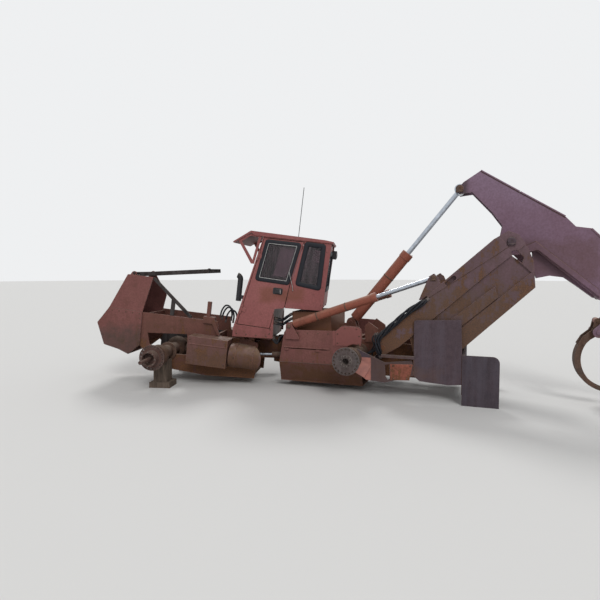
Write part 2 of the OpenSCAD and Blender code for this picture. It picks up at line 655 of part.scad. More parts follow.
hood_hinge = [-4030, 0, 1562];
hood_bar_d = 44;
nose_outline = [[-4580, 660], [-4390, 945], [-4115, 1535], [-3670, 1535], [-3800, 950], [-3800, 360],
    [-3990, 185], [-4170, 250], [-4430, 300]];
module nose_guard() color(paint) on_front() {
    slab(-front_y - 20, -front_y) polygon(nose_outline);
    // the lower part of the left side is doubled
    slab(-front_y - 28, -front_y - 10) polygon([[-4572, 664], [-4384, 940], [-3808, 930], [-3808, 366],
        [-3992, 193], [-4168, 258], [-4424, 308]]);
    slab(front_y, front_y + 20) polygon([[-4580, 660], [-4390, 945], [-4115, 1535], [-4000, 1535],
        [-3760, 1180], [-3800, 950], [-3800, 360], [-3990, 185], [-4170, 250], [-4430, 300]]);
    // front sheets between the sides
    slab(-front_y, front_y) polygon([[-4580, 660], [-4390, 945], [-4365, 925], [-4550, 655]]);
    slab(-front_y, front_y) polygon([[-4580, 660], [-4430, 300], [-4405, 312], [-4550, 655]]);
    slab(-front_y, front_y) polygon([[-4430, 300], [-4170, 250], [-3990, 185], [-3990, 212],
        [-4165, 276], [-4410, 325]]);
    slab(-front_y, front_y) polygon([[-4115, 1535], [-4000, 1535], [-4000, 1510], [-4130, 1510]]);
    // hinge lugs that carry the hood's bar
    for (y = [-411, 391]) slab(y, y + 20) difference() {
        polygon([[-4100, 1530], [-4062, 1588], [-4030, 1598], [-3998, 1588], [-3985, 1530]]);
        translate([hood_hinge[0], hood_hinge[2]]) circle(d = hood_bar_d + 2 * eps);
    }
}

module nose_grille() color(rust) on_front() {
    // slats of the radiator opening in the sloping front
    n = 9;
    for (k = [0 : n - 1]) {
        t = (k + 0.5) / n;
        translate([-4376 + t * 250, -front_y + eps, 962 + t * 545]) rotate([0, 25, 0])
            cube([60, 2 * (front_y - eps), 8]);
    }
    for (y = [-200, 190]) slab(y, y + 10) polygon([[-4350, 945], [-4370, 955], [-4118, 1509], [-4085, 1509]]);
}

module nose_brace() color(rust) on_front() {
    slab(-front_y + eps, -front_y + 40) polygon([[-3700, 1515], [-3655, 1535], [-2960, 965], [-2960, 930],
        [-3000, 930]]);
    slab(-front_y + eps, -front_y + 40) polygon([[-3330, 930], [-3270, 930], [-3265, 1190], [-3325, 1225]]);
}

tank_r = 185;
module tank_section(grow) intersection() {
    union() {
        translate([-tank_y + tank_r, 430]) circle(r = tank_r + grow);
        translate([-tank_y + tank_r, 430 - tank_r - grow]) square([400, 2 * (tank_r + grow)]);
    }
    translate([-tank_y - 50, 0]) square([tank_y + 50 - front_y - eps, 900]);
}

module side_tanks() color(paint) on_front() both() {
    translate([-2870, -tank_y, 235]) cube([655, tank_y - front_y - eps, 450]);
    // lid ledge on the square tank
    translate([-2850, -tank_y - 10, 560]) cube([600, 20, 14]);
    difference() {
        union() {
            translate([-2190, 0, 0]) rotate([90, 0, 90]) linear_extrude(560) tank_section(0);
            // straps and the rim at the tank's end
            for (x = [-2120, -1830]) translate([x, 0, 0]) rotate([90, 0, 90]) linear_extrude(44) tank_section(8);
        }
        // the back corner is cut away so that the halves can turn
        translate([-1900, -tank_y - 10, 200]) rotate(38) translate([200, -500, 0]) cube([600, 900, 700]);
    }
}

module front_axle() color(rust) on_front() {
    y1 = hub_face_y - 190;
    both() {
        bar_y(-wheelbase, front_axle_z, axle_tube_d, -y1, -120);
        bar_y(-wheelbase, front_axle_z, drum_d, -y1, -y1 + 110);
        bar_y(-wheelbase, front_axle_z, axle_tube_d + 90, -front_y - 30, -front_y - eps);
    }
    translate([-wheelbase, 0, front_axle_z]) sphere(r = 190);
    translate([-wheelbase + 40, 0, front_axle_z]) rotate([0, 90, 0]) cylinder(d = 170, h = 300);
}

function front_to_world(p) = let (
    q = p - hinge,
    x1 = q[0] * cos(front_pitch) + q[2] * sin(front_pitch),
    z1 = -q[0] * sin(front_pitch) + q[2] * cos(front_pitch)
) [hinge[0] + x1 * cos(steer_rest) - q[1] * sin(steer_rest),
    x1 * sin(steer_rest) + q[1] * cos(steer_rest), hinge[2] + z1];

module front_stand() color(timber) placed() {
    for (s = [-1, 1]) {
        p = front_to_world([-wheelbase, s * 700, front_axle_z]);
        top = p[2] - axle_tube_d / 2 - eps;
        translate([p[0], p[1], 0]) rotate(steer_rest) {
            translate([-110, -120, 0]) cube([220, 240, top]);
            translate([-170, -160, 0]) cube([340, 320, 90]);
        }
    }
}

module hub_front_left() color(iron) on_front() {
    translate([-wheelbase, -hub_face_y, front_axle_z]) {
        hub();
        // planet housing without its cover, the half-shaft stands out of it
        rotate([90, 0, 0]) difference() {
            translate([0, 0, -10]) cylinder(d = 236, h = 140);
            translate([0, 0, 20]) cylinder(d = 190, h = 140);
        }
        rotate([90, 0, 0]) translate([0, 0, -100]) cylinder(d = 56, h = 520);
        rotate([90, 0, 0]) translate([0, 0, -112]) cylinder(d = hub_bore_d, h = 20);
    }
}
module hub_front_right() color(iron) on_front() mirror([0, 1, 0])
    translate([-wheelbase, -hub_face_y, front_axle_z]) hub();

module hood() color(rust) on_front() {
    translate([hood_hinge[0], 0, hood_hinge[2]]) rotate([0, -9, 0]) {
        translate([0, -385, 0]) cube([1280, 770, 12]);
        for (y = [-385, 345]) translate([80, y, -55]) cube([1200, 40, 60]);
        translate([80, -380, -55]) cube([40, 760, 60]);
        translate([1230, -380, -55]) cube([40, 760, 60]);
        // catch at the free end
        translate([1279, -330, -16]) rotate([90, 0, 0]) rotate_extrude(angle = 180) translate([34, 0]) circle(d = 14);
    }
    bar_y(hood_hinge[0], hood_hinge[2], hood_bar_d, -416, 416);
}

// Cab

front_low = [-2190, 900];
front_top = [-1850, 2400];
rear_low = [-790, 1340];
rear_top = [-760, 2400];

// where the slanting front wall's outer face stands at a height
function cab_front_x(z) = front_low[0] + (front_top[0] - front_low[0]) * (z - front_low[1]) / (front_top[1] - front_low[1]);

side_outline = [[-2190, 745], [-2190, 900], [-1850, 2400], [-760, 2400], [-790, 1330], [-1440, 1300],
    [-1560, 1275], [-1530, 790]];
door_outline = [[-2130, 960], [-1832, 2375], [-1200, 2375], [-1352, 1680], [-1400, 1300], [-1550, 1270],
    [-1600, 950]];
door_window = [[-1900, 1705], [-1790, 2345], [-1245, 2345], [-1372, 1690]];
rear_window = [[-1165, 2375], [-860, 2365], [-865, 1660], [-1245, 1700]];

// the doors hang on two outside hinges along their leaning front edge
door_lean = atan2(door_outline[1][0] - door_outline[0][0], door_outline[1][1] - door_outline[0][1]);
knuckle_d = 28;
knuckle_out = 16;
module at_hinge(s) translate([door_outline[0][0] - 4 + s * sin(door_lean), -cab_y - knuckle_out,
    door_outline[0][1] + s * cos(door_lean)]) rotate([0, door_lean, 0]) children();

module cab_side() {
    slab(-cab_y, -cab_y + wall) difference() {
        polygon(side_outline);
        offset(delta = door_gap) polygon(door_outline);
        polygon(rear_window);
    }
    for (s = [250, 1150]) at_hinge(s) {
        cylinder(d = 14, h = 150, center = true);
        for (z = [-53, 53]) translate([0, 0, z]) {
            cylinder(d = knuckle_d, h = 40, center = true);
            translate([-24, 4, -20]) cube([22, knuckle_out - 1, 40]);
        }
    }
}

module cab_side_left() color(paint) on_front() cab_side();
module cab_side_right() color(paint) on_front() mirror([0, 1, 0]) cab_side();

module cab_door() {
    slab(-cab_y, -cab_y + wall) difference() {
        polygon(door_outline);
        polygon(door_window);
    }
    for (s = [250, 1150]) at_hinge(s) difference() {
        union() {
            cylinder(d = knuckle_d, h = 60, center = true);
            translate([2, 4, -30]) cube([70, knuckle_out - 1, 60]);
        }
        cylinder(d = 14 + 2 * eps, h = 80, center = true);
    }
    // handle in its recess
    translate([-1560, -cab_y - 25, 1530]) cube([90, 27, 60]);
}

module door_left() color(paint) on_front() cab_door();
module door_right() color(paint) on_front() mirror([0, 1, 0]) cab_door();

module cab_rear() color(paint) on_front() {
    y1 = cab_y - wall - eps;
    difference() {
        translate([rear_low[0] - 32, -y1, 1374]) cube([wall, 2 * y1, 2400 - 1374]);
        translate([rear_low[0] - 80, -y1 + 120, 1640]) cube([200, 2 * y1 - 240, 640]);
    }
}

module cab_front() color(paint) on_front() {
    y1 = cab_y - wall - eps;
    difference() {
        slab(-y1, y1) polygon([[-2190, 745], [-2190, 900], [-1850, 2400], [-1810, 2400], [-2150, 895], [-2150, 745]]);
        translate([-2300, -y1 + 90, 1450]) cube([600, 2 * y1 - 180, 850]);
    }
}

module cab_floor() color(rust) on_front() {
    y1 = cab_y - wall - eps;
    translate([-2149.5, -y1, 760]) cube([590, 2 * y1, 30]);
    // mounts that stand on the frame
    both() for (x = [-2120, -1950]) translate([x, -front_y, 690 + eps]) cube([90, 80, 75]);
    slab(-y1, y1) polygon([[-1560, 760], [-1560, 1300], [-825, 1335], [-825, 1365], [-1590, 1330], [-1590, 760]]);
}

module cab_roof() color(paint) on_front() {
    slab(-cab_y - 20, cab_y + 20) polygon([[-2060, 2470], [-2050, 2440], [-1990, 2401], [-740, 2401], [-730, 2430],
        [-870, 2445]]);
    // visor with two stays
    slab(-cab_y - 20, cab_y + 20) polygon([[-2330, 2270], [-2060, 2470], [-2040, 2445], [-2320, 2250]]);
    both() slab(-cab_y, -cab_y + 12) difference() {
        polygon([[-2250, 2300], [-2010, 1950], [-1960, 1950], [-1880, 2399], [-2060, 2420]]);
        polygon([[-2190, 2290], [-1990, 2010], [-1925, 2380], [-2060, 2390]]);
    }
}

module window_guards() color(black) on_front() both() {
    x0 = -1250;
    x1 = -855;
    z0 = 1655;
    z1 = 2380;
    intersection() {
        union() {
            for (k = [0 : mesh_cols]) translate([x0 + k * (x1 - x0) / mesh_cols - 3, -cab_y + 16, z0])
                cube([6, 6, z1 - z0]);
            for (k = [0 : mesh_rows]) translate([x0, -cab_y + 16, z0 + k * (z1 - z0) / mesh_rows - 3])
                cube([x1 - x0, 6, 6]);
        }
        slab(-cab_y, -cab_y + wall) offset(delta = -eps) polygon(rear_window);
    }
}

// top of the slanting floor under the seat
function seat_low(x) = 1330 + 35 * (x + 1590) / 765 + eps;

module seat() color(black) on_front() {
    slab(-250, 250) polygon([[-1500, seat_low(-1500)], [-1380, seat_low(-1380)], [-1380, 1396], [-1500, 1396]]);
    translate([-1560, -240, 1395]) cube([460, 480, 130]);
    slab(-230, 230) polygon([[-1160, 1525], [-1040, 1525], [-940, 2080], [-1040, 2080]]);
}

module steering_wheel() color(black) on_front() {
    translate([-1960, 0, 797]) rotate([0, 12, 0]) cylinder(d = 60, h = 760);
    translate([-1800, 0, 1535]) rotate([0, 25, 0]) {
        rotate_extrude() translate([190, 0]) circle(d = 26);
        for (a = [0, 120, 240]) rotate(a) translate([0, -10, -8]) cube([190, 20, 14]);
        translate([0, 0, -20]) cylinder(d = 70, h = 40);
    }
}

module cab_fittings() color(black) on_front() {
    // aerial at the roof's left edge, and a lamp at the back
    translate([-1300, -cab_y + 60, 2455]) cylinder(d = 10, h = 780);
    translate([rear_low[0] - 32 + wall + eps, 420, 2180]) cube([80, 120, 150]);
    // bent pipe on a bracket before the cab
    slab(-330, -270) polygon([[-2235, 1340], [cab_front_x(1340) - eps, 1340], [cab_front_x(1400) - eps, 1400],
        [-2235, 1400]]);
    translate([-2225, -300, 1300]) {
        cylinder(d = 90, h = 360);
        translate([-70, 0, 360]) rotate([90, 0, 0]) rotate_extrude(angle = 75) translate([70, 0]) circle(d = 90);
    }
}

rear_frame();
rear_panels();
rear_axle();
tower_plates();
butt_plate();
hub_rear_left();
hub_rear_right();
arch();
boom_shaft();
boom();
arch_barrel_left();
arch_barrel_right();
arch_rod_left();
arch_rod_right();
boom_barrel();
boom_rod();
grapple_link();
grapple_head();
tong_left();
tong_right();
tong_barrel();
tong_rod();
front_frame();
nose_guard();
nose_grille();
nose_brace();
side_tanks();
front_axle();
front_stand();
hub_front_left();
hub_front_right();
hood();
cab_floor();
cab_side_left();
cab_side_right();
cab_rear();
cab_front();
cab_roof();
door_left();
door_right();
window_guards();
seat();
steering_wheel();
cab_fittings();
steer_barrel_left();
steer_barrel_right();
steer_rod_left();
steer_rod_right();
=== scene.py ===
# %% [markdown]
# A derelict grapple skidder, dressed for its picture.
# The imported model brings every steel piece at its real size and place.
# This file gives those pieces their finish and adds what is too thin or too soft for a solid:
# rubber seals, glass, cushions, hoses, bolts and weld beads.

import json
import math

import bpy
import numpy as np
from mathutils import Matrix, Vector

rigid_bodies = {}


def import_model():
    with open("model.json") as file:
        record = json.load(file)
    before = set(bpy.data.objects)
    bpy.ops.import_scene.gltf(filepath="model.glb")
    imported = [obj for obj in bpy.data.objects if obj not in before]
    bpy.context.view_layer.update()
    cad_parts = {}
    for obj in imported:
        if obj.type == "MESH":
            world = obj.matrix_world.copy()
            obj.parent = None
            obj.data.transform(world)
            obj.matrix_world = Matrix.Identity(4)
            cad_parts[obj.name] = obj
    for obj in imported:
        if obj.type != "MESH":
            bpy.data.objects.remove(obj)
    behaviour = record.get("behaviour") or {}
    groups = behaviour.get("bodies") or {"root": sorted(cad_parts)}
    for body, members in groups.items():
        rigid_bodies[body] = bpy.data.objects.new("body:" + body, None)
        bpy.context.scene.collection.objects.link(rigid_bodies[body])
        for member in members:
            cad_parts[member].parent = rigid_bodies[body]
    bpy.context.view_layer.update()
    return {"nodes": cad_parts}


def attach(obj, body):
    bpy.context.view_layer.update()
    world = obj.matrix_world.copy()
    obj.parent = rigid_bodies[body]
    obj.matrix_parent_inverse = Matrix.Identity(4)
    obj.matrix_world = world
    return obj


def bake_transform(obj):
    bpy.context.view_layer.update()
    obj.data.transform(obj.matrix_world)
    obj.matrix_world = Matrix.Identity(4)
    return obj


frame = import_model()

# %% [markdown]
# The camera comes first, because everything else is judged through it.
# It stands some metres off the left side, at the height of a standing person, and looks a little down.
# The lens was found from the perspective of the machine's own straight edges.

# %% Camera
def stand_camera(place, heading, pitch_down, focal_mm):
    """A camera at a place, turned from +Y towards -X by heading degrees, tilted down by pitch degrees."""
    data = bpy.data.cameras.new("photo_camera")
    data.lens = focal_mm
    data.sensor_width = 36.0
    data.clip_end = 300.0
    camera = bpy.data.objects.new("photo_camera", data)
    bpy.context.collection.objects.link(camera)
    camera.location = place
    camera.rotation_euler = (math.radians(90 - pitch_down), 0.0, math.radians(heading))
    bpy.context.scene.camera = camera
    return camera

camera = stand_camera((1.95, -7.495, 1.90), 20.0, 3.475, 29.64)
print("camera at", tuple(round(v, 2) for v in camera.location))

# %% [markdown]
# Plain studio light: an even pale sky, one broad soft lamp from the camera's side and a weaker one behind,
# so that faces that meet at an edge differ in brightness and the rims of the plates can be read.
# The floor is a wide pale disc that only keeps the shadow.

# %% Light and floor
def soft_sun(name, strength, spread_deg, direction):
    """A distant lamp whose light travels along direction, blurred over a disc of spread degrees."""
    data = bpy.data.lights.new(name, "SUN")
    data.energy = strength
    data.angle = math.radians(spread_deg)
    lamp = bpy.data.objects.new(name, data)
    bpy.context.collection.objects.link(lamp)
    lamp.rotation_euler = Vector(direction).to_track_quat("-Z", "Y").to_euler()
    return lamp

def pale_world(seen, shining, strength):
    """One colour lights the scene, a paler one is what the camera and mirrors see."""
    world = bpy.data.worlds.new("studio")
    world.use_nodes = True
    bpy.context.scene.world = world
    nodes, links = world.node_tree.nodes, world.node_tree.links
    nodes.clear()
    out = nodes.new("ShaderNodeOutputWorld")
    light, back = nodes.new("ShaderNodeBackground"), nodes.new("ShaderNodeBackground")
    light.inputs["Color"].default_value = (*shining, 1)
    light.inputs["Strength"].default_value = strength
    back.inputs["Color"].default_value = (*seen, 1)
    path = nodes.new("ShaderNodeLightPath")
    seen_by = path.outputs["Is Camera Ray"]
    for ray in ("Is Transmission Ray", "Is Glossy Ray"):
        either = nodes.new("ShaderNodeMath")
        either.operation = "MAXIMUM"
        links.new(seen_by, either.inputs[0])
        links.new(path.outputs[ray], either.inputs[1])
        seen_by = either.outputs[0]
    mix = nodes.new("ShaderNodeMixShader")
    links.new(seen_by, mix.inputs["Fac"])
    links.new(light.outputs[0], mix.inputs[1])
    links.new(back.outputs[0], mix.inputs[2])
    links.new(mix.outputs[0], out.inputs["Surface"])

pale_world((0.86, 0.87, 0.88), (0.97, 0.98, 1.0), 0.53)
soft_sun("key", 1.3, 25.0, (-0.45, 0.72, -0.62))
soft_sun("rim", 1.2, 18.0, (0.30, -0.62, -0.75))

def disc(name, radius, rings=24, around=96):
    """A flat disc at height zero: circles of points that grow outwards round one point in the middle."""
    r = np.linspace(0, 1, rings + 1)[1:] ** 1.5 * radius
    a = np.linspace(0, 2 * np.pi, around, endpoint=False)
    ring = np.stack([np.outer(r, np.cos(a)), np.outer(r, np.sin(a)), np.zeros((rings, around))], -1)
    points = np.vstack([[[0.0, 0.0, 0.0]], ring.reshape(-1, 3)])
    nxt = (np.arange(around) + 1) % around
    fan = [[0, 1 + k, 1 + nxt[k]] for k in range(around)]
    quads = []
    for i in range(rings - 1):
        inner = 1 + i * around + np.arange(around)
        outer = inner + around
        quads += np.stack([inner, outer, outer[nxt], inner[nxt]], -1).tolist()
    mesh = bpy.data.meshes.new(name)
    mesh.from_pydata(points.tolist(), [], fan + quads)
    thing = bpy.data.objects.new(name, mesh)
    bpy.context.collection.objects.link(thing)
    return thing

floor = disc("floor", 90.0)
floor_finish = bpy.data.materials.new("pale_floor")
floor_finish.use_nodes = True
floor_shader = floor_finish.node_tree.nodes["Principled BSDF"]
floor_shader.inputs["Base Color"].default_value = (0.66, 0.655, 0.64, 1)
floor_shader.inputs["Roughness"].default_value = 0.95
floor_shader.inputs["Specular IOR Level"].default_value = 0.1
floor.data.materials.append(floor_finish)

# %% [markdown]
# Old paint, rust and dust come back on nearly every piece, so each is a node group that is built once.
# A group gives colours, a roughness and a height, and the shader itself stays in the material.
# Patterns are read in Object coordinates, which are metres on the machine.

# %% Helpers for node groups
COLOUR, FLOAT, VECTOR = "NodeSocketColor", "NodeSocketFloat", "NodeSocketVector"

def make_group(name, inputs, outputs):
    """A shader node group: inputs hold (name, kind, value), outputs hold (name, kind).
    Returns it with its wires, the sockets it is given and the sockets of its result."""
    group = bpy.data.node_groups.new(name, "ShaderNodeTree")
    for label, kind, value in inputs:
        socket = group.interface.new_socket(name=label, in_out="INPUT", socket_type=kind)
        socket.default_value = (*value, 1.0) if kind == COLOUR else value
    for label, kind in outputs:
        group.interface.new_socket(name=label, in_out="OUTPUT", socket_type=kind)
    given, result = group.nodes.new("NodeGroupInput"), group.nodes.new("NodeGroupOutput")
    return group, Wires(group), given.outputs, result.inputs

class Wires:
    """Short names for the nodes that the groups use; each method returns the socket with the result."""

    def __init__(self, tree):
        self.tree = tree

    def node(self, kind, inputs=(), **settings):
        """A new node: its settings are made first, then its inputs are fed."""
        made = self.tree.nodes.new(kind)
        for key, value in settings.items():
            setattr(made, key, value)
        return self.fill(made, dict(inputs))

    def fill(self, node, inputs):
        """Feeds the named or numbered inputs of a node."""
        for key, value in inputs.items():
            self.feed(node.inputs[key], value)
        return node

    def feed(self, socket, value):
        """Links another socket to this one, or sets its value; a colour gets its alpha."""
        if hasattr(value, "is_linked"):
            self.tree.links.new(value, socket)
        elif socket.type == "RGBA":
            socket.default_value = (*value, 1.0)
        else:
            socket.default_value = value

    def group(self, tree, values):
        return self.node("ShaderNodeGroup", values, node_tree=tree)

    def place(self):
        return self.node("ShaderNodeTexCoord").outputs["Object"]

    def normal(self):
        return self.node("ShaderNodeNewGeometry").outputs["Normal"]

    def squeezed(self, scale):
        """Object coordinates, stretched by 1/scale along each axis."""
        return self.node("ShaderNodeMapping", {"Vector": self.place(), "Scale": scale}).outputs[0]

    def noise(self, scale, detail=4.0, rough=0.55, vector=None):
        inputs = {"Scale": scale, "Detail": detail, "Roughness": rough}
        inputs["Vector"] = self.place() if vector is None else vector
        return self.node("ShaderNodeTexNoise", inputs).outputs["Fac"]

    def maths(self, operation, a, b=0.0, clamp=False):
        return self.node("ShaderNodeMath", {0: a, 1: b}, operation=operation, use_clamp=clamp).outputs[0]

    def times(self, a, b, clamp=False):
        return self.maths("MULTIPLY", a, b, clamp)

    def plus(self, a, b, clamp=False):
        return self.maths("ADD", a, b, clamp)

    def vectors(self, operation, a, b=(0.0, 0.0, 0.0)):
        return self.node("ShaderNodeVectorMath", {0: a, 1: b}, operation=operation).outputs

    def ramp(self, value, low, high, to_low=0.0, to_high=1.0):
        """A straight rise from to_low at low to to_high at high, held flat outside."""
        return self.node("ShaderNodeMapRange", {
            "Value": value, "From Min": low, "From Max": high,
            "To Min": to_low, "To Max": to_high}).outputs["Result"]

    def blend(self, share, a, b):
        return self.node("ShaderNodeMix", {"Factor": share, 6: a, 7: b}, data_type="RGBA").outputs[2]

    def split(self, vector):
        return self.node("ShaderNodeSeparateXYZ", {0: vector}).outputs

# %% [markdown]
# Paint on a machine that stood outside for years has three layers of change:
# what faces up turns pale, partly sun-bleached paint and partly painted sunlight on the tops, water draws
# brown streaks downwards, and rust eats patches that grow towards the ground, where the steel stays wet.
# Each is a mask, and the masks mix four colours.

# %% Group: old paint
def old_paint_group():
    """colour = paint turned pale by upward facing (sun-bleached paint and painted sunlight on the tops),
    stained by streaks, then rust where patches + streaks + nearness to the ground pass a threshold. Height
    drops where paint is gone."""
    group, w, given, result = make_group("old_paint", [
        ("Paint", COLOUR, (0.30, 0.07, 0.05)),
        ("Bleached", COLOUR, (0.55, 0.2, 0.14)),
        ("Rust", COLOUR, (0.13, 0.05, 0.025)),
        ("Share", FLOAT, 0.0),
        ("Wet Height", FLOAT, 0.3),
        ("Dry Height", FLOAT, 0.8),
    ], [("Color", COLOUR), ("Roughness", FLOAT), ("Height", FLOAT)])
    wide, patch, speck = w.noise(0.8, 3), w.noise(4.5, 9, 0.68), w.noise(38.0, 5, 0.6)
    streak = w.noise(2.2, 5, 0.6, w.squeezed((7.0, 7.0, 0.7)))
    damp = w.ramp(w.split(w.place())["Z"], given["Dry Height"], given["Wet Height"])
    spotted = w.plus(w.plus(w.times(patch, 0.55), w.times(streak, 0.3)), w.times(speck, 0.15))
    total = w.plus(w.plus(spotted, w.times(damp, 0.17)), given["Share"])
    bare = w.ramp(total, 0.615, 0.665)
    stain = w.times(w.ramp(total, 0.50, 0.63), 0.75)
    # Faces that look up go towards the pale colour: partly sun-bleached paint, partly painted sunlight on
    # the tops.
    up = w.ramp(w.split(w.normal())["Z"], 0.25, 0.95)
    faded = w.plus(w.times(w.ramp(wide, 0.4, 0.68), 0.35), w.times(up, 0.6), True)
    coat = w.blend(faded, given["Paint"], given["Bleached"])
    mottled = w.blend(w.ramp(speck, 0.35, 0.75, 0.0, 0.35), coat, (0.05, 0.02, 0.015))
    stained = w.blend(stain, mottled, w.blend(0.45, given["Rust"], given["Paint"]))
    fresh_rust = w.blend(0.35, given["Rust"], (0.42, 0.17, 0.06))
    flake = w.blend(w.ramp(w.noise(90.0, 3), 0.35, 0.7), given["Rust"], fresh_rust)
    rusted = w.blend(bare, stained, flake)
    w.feed(result["Color"], rusted)
    w.feed(result["Roughness"], w.ramp(bare, 0.0, 1.0, 0.52, 0.9))
    lump = w.times(w.noise(60.0, 6, 0.7), bare)
    height = w.maths("SUBTRACT", w.times(lump, 0.8), w.times(bare, 0.5))
    w.feed(result["Height"], height)
    return group

# %% [markdown]
# Steel that has lost all its paint is not one brown: older rust is dark and purple, younger rust is
# orange, and rubbed places show grey. One group mixes the three by noise of different sizes.

# %% Group: bare old steel
def old_steel_group():
    """colour = dark and light rust mixed by middle-sized noise, rubbed steel where wide noise is high."""
    group, w, given, result = make_group("old_steel", [
        ("Dark", COLOUR, (0.07, 0.04, 0.035)),
        ("Light", COLOUR, (0.2, 0.09, 0.045)),
        ("Rubbed", COLOUR, (0.2, 0.17, 0.17)),
        ("Rub", FLOAT, 0.3),
    ], [("Color", COLOUR), ("Roughness", FLOAT), ("Height", FLOAT)])
    middle, fine = w.noise(7.0, 8, 0.7), w.noise(55.0, 6, 0.65)
    streak = w.noise(2.0, 4, 0.6, w.squeezed((6.0, 6.0, 0.6)))
    mixed = w.plus(w.times(middle, 0.6), w.times(fine, 0.4))
    base = w.blend(w.ramp(mixed, 0.38, 0.62), given["Dark"], given["Light"])
    rubbed = w.ramp(w.plus(streak, w.times(fine, 0.2)), 0.5, 0.72)
    worn = w.times(rubbed, given["Rub"])
    w.feed(result["Color"], w.blend(worn, base, given["Rubbed"]))
    w.feed(result["Roughness"], w.ramp(worn, 0.0, 1.0, 0.88, 0.55))
    w.feed(result["Height"], mixed)
    return group

# %% Group: settled dust
def dust_group():
    """mask = how far a face looks up, broken by noise, times an amount; colour = given under dust."""
    group, w, given, result = make_group("settled_dust", [
        ("Color", COLOUR, (0.5, 0.5, 0.5)),
        ("Dust", COLOUR, (0.40, 0.33, 0.25)),
        ("Amount", FLOAT, 0.5),
    ], [("Color", COLOUR), ("Mask", FLOAT)])
    up = w.ramp(w.split(w.normal())["Z"], 0.2, 0.9)
    broken = w.ramp(w.noise(6.0, 6, 0.65), 0.3, 0.7)
    mask = w.times(w.times(up, broken), given["Amount"], True)
    w.feed(result["Color"], w.blend(mask, given["Color"], given["Dust"]))
    w.feed(result["Mask"], mask)
    return group

# %% [markdown]
# Edges are where paint goes first, and their pale colour is also a painted highlight along them. A softened
# normal differs from the true one only near an edge, so one minus their product marks the edges, and the
# softened normal itself takes the knife look off them.

# %% Group: worn edges with a painted highlight
def edge_group():
    """mask = rise of (1 - soft normal . true normal), broken by noise; normal = the softened one."""
    group, w, given, result = make_group("worn_edges", [
        ("Amount", FLOAT, 0.7),
    ], [("Mask", FLOAT), ("Normal", VECTOR)])
    soft = w.node("ShaderNodeBevel", {"Radius": 0.009}, samples=4).outputs["Normal"]
    near = w.ramp(w.vectors("DOT_PRODUCT", soft, w.normal())["Value"], 0.992, 0.90)
    broken = w.ramp(w.noise(14.0, 6, 0.7), 0.36, 0.6, 0.15, 1.0)
    mask = w.times(w.times(near, broken), given["Amount"], True)
    w.feed(result["Mask"], mask)
    w.feed(result["Normal"], soft)
    return group

# %% Group: a differently worn region
def region_group():
    """mask = 1 inside a box given by its middle and half size, with a noisy rim of the given softness."""
    group, w, given, result = make_group("worn_region", [
        ("Middle", VECTOR, (0.0, 0.0, 0.0)),
        ("Half", VECTOR, (0.5, 0.5, 0.5)),
        ("Soft", FLOAT, 0.05),
    ], [("Mask", FLOAT)])
    off = w.vectors("SUBTRACT", w.place(), given["Middle"])["Vector"]
    size = w.vectors("ABSOLUTE", off)["Vector"]
    over = w.split(w.vectors("SUBTRACT", size, given["Half"])["Vector"])
    far = w.maths("MAXIMUM", w.maths("MAXIMUM", over["X"], over["Y"]), over["Z"])
    rough = w.times(w.maths("SUBTRACT", w.noise(5.0, 7, 0.65), 0.5), given["Soft"])
    wavy = w.plus(far, w.times(rough, 3.0))
    share = w.maths("DIVIDE", wavy, given["Soft"])
    w.feed(result["Mask"], w.ramp(share, 0.5, -0.5))
    return group

worn_edges, worn_region = edge_group(), region_group()
old_paint, old_steel, settled_dust = old_paint_group(), old_steel_group(), dust_group()
print("node groups:", [g.name for g in bpy.data.node_groups])

# %% [markdown]
# A material is one shader with a group in front of it. The values below are the finish of each kind of
# piece: the cab keeps most of its paint, the arch and the belly have lost more, and the boom is pale
# purple:
# faded paint under painted sky reflection.

# %% Materials from the groups
def new_finish(name):
    """A material with its wires and its Principled shader."""
    finish = bpy.data.materials.new(name)
    finish.use_nodes = True
    return finish, Wires(finish.node_tree), finish.node_tree.nodes["Principled BSDF"]

def dusted(w, shader, colour, amount):
    """Feeds the colour to the shader under settled dust."""
    top = w.group(settled_dust, {"Amount": amount, "Color": colour})
    w.feed(shader.inputs["Base Color"], top.outputs["Color"])

def embossed(w, shader, height, strength, distance, normal=None):
    """Feeds a height to the shader through a Bump node, on top of a normal where one is given."""
    relief = w.node("ShaderNodeBump", {"Strength": strength, "Distance": distance, "Height": height})
    if normal:
        w.feed(relief.inputs["Normal"], normal)
    w.feed(shader.inputs["Normal"], relief.outputs["Normal"])

def shaded(name, group, values, bump=0.4, dust=0.35, coat=0.0, metallic=0.0,
           edge=(0.36, 0.17, 0.14), edge_share=0.7, regions=()):
    """A shader fed by one group: regions recolour parts of it, then come worn edges with a painted
    highlight, dust and relief.
    """
    finish, w, shader = new_finish(name)
    layer = w.group(group, values)
    colour = layer.outputs["Color"]
    for middle, half, soft, tint, share in regions:
        region = w.group(worn_region, {"Middle": middle, "Half": half, "Soft": soft})
        grain = w.ramp(w.noise(9.0, 8, 0.7), 0.3, 0.7, 0.55, 1.0)
        amount = w.times(w.times(region.outputs["Mask"], grain), share)
        colour = w.blend(amount, colour, tint)
    edge_wear_and_highlight = w.group(worn_edges, {"Amount": edge_share})
    # The edges take a pale colour: partly worn paint, partly a painted highlight along every edge.
    colour = w.blend(edge_wear_and_highlight.outputs["Mask"], colour, edge)
    dusted(w, shader, colour, dust)
    embossed(w, shader, layer.outputs["Height"], bump, 0.004, edge_wear_and_highlight.outputs["Normal"])
    w.fill(shader, {"Roughness": layer.outputs["Roughness"], "Metallic": metallic, "Coat Weight": coat,
                    "Coat Roughness": 0.45, "Specular IOR Level": 0.18})
    return finish

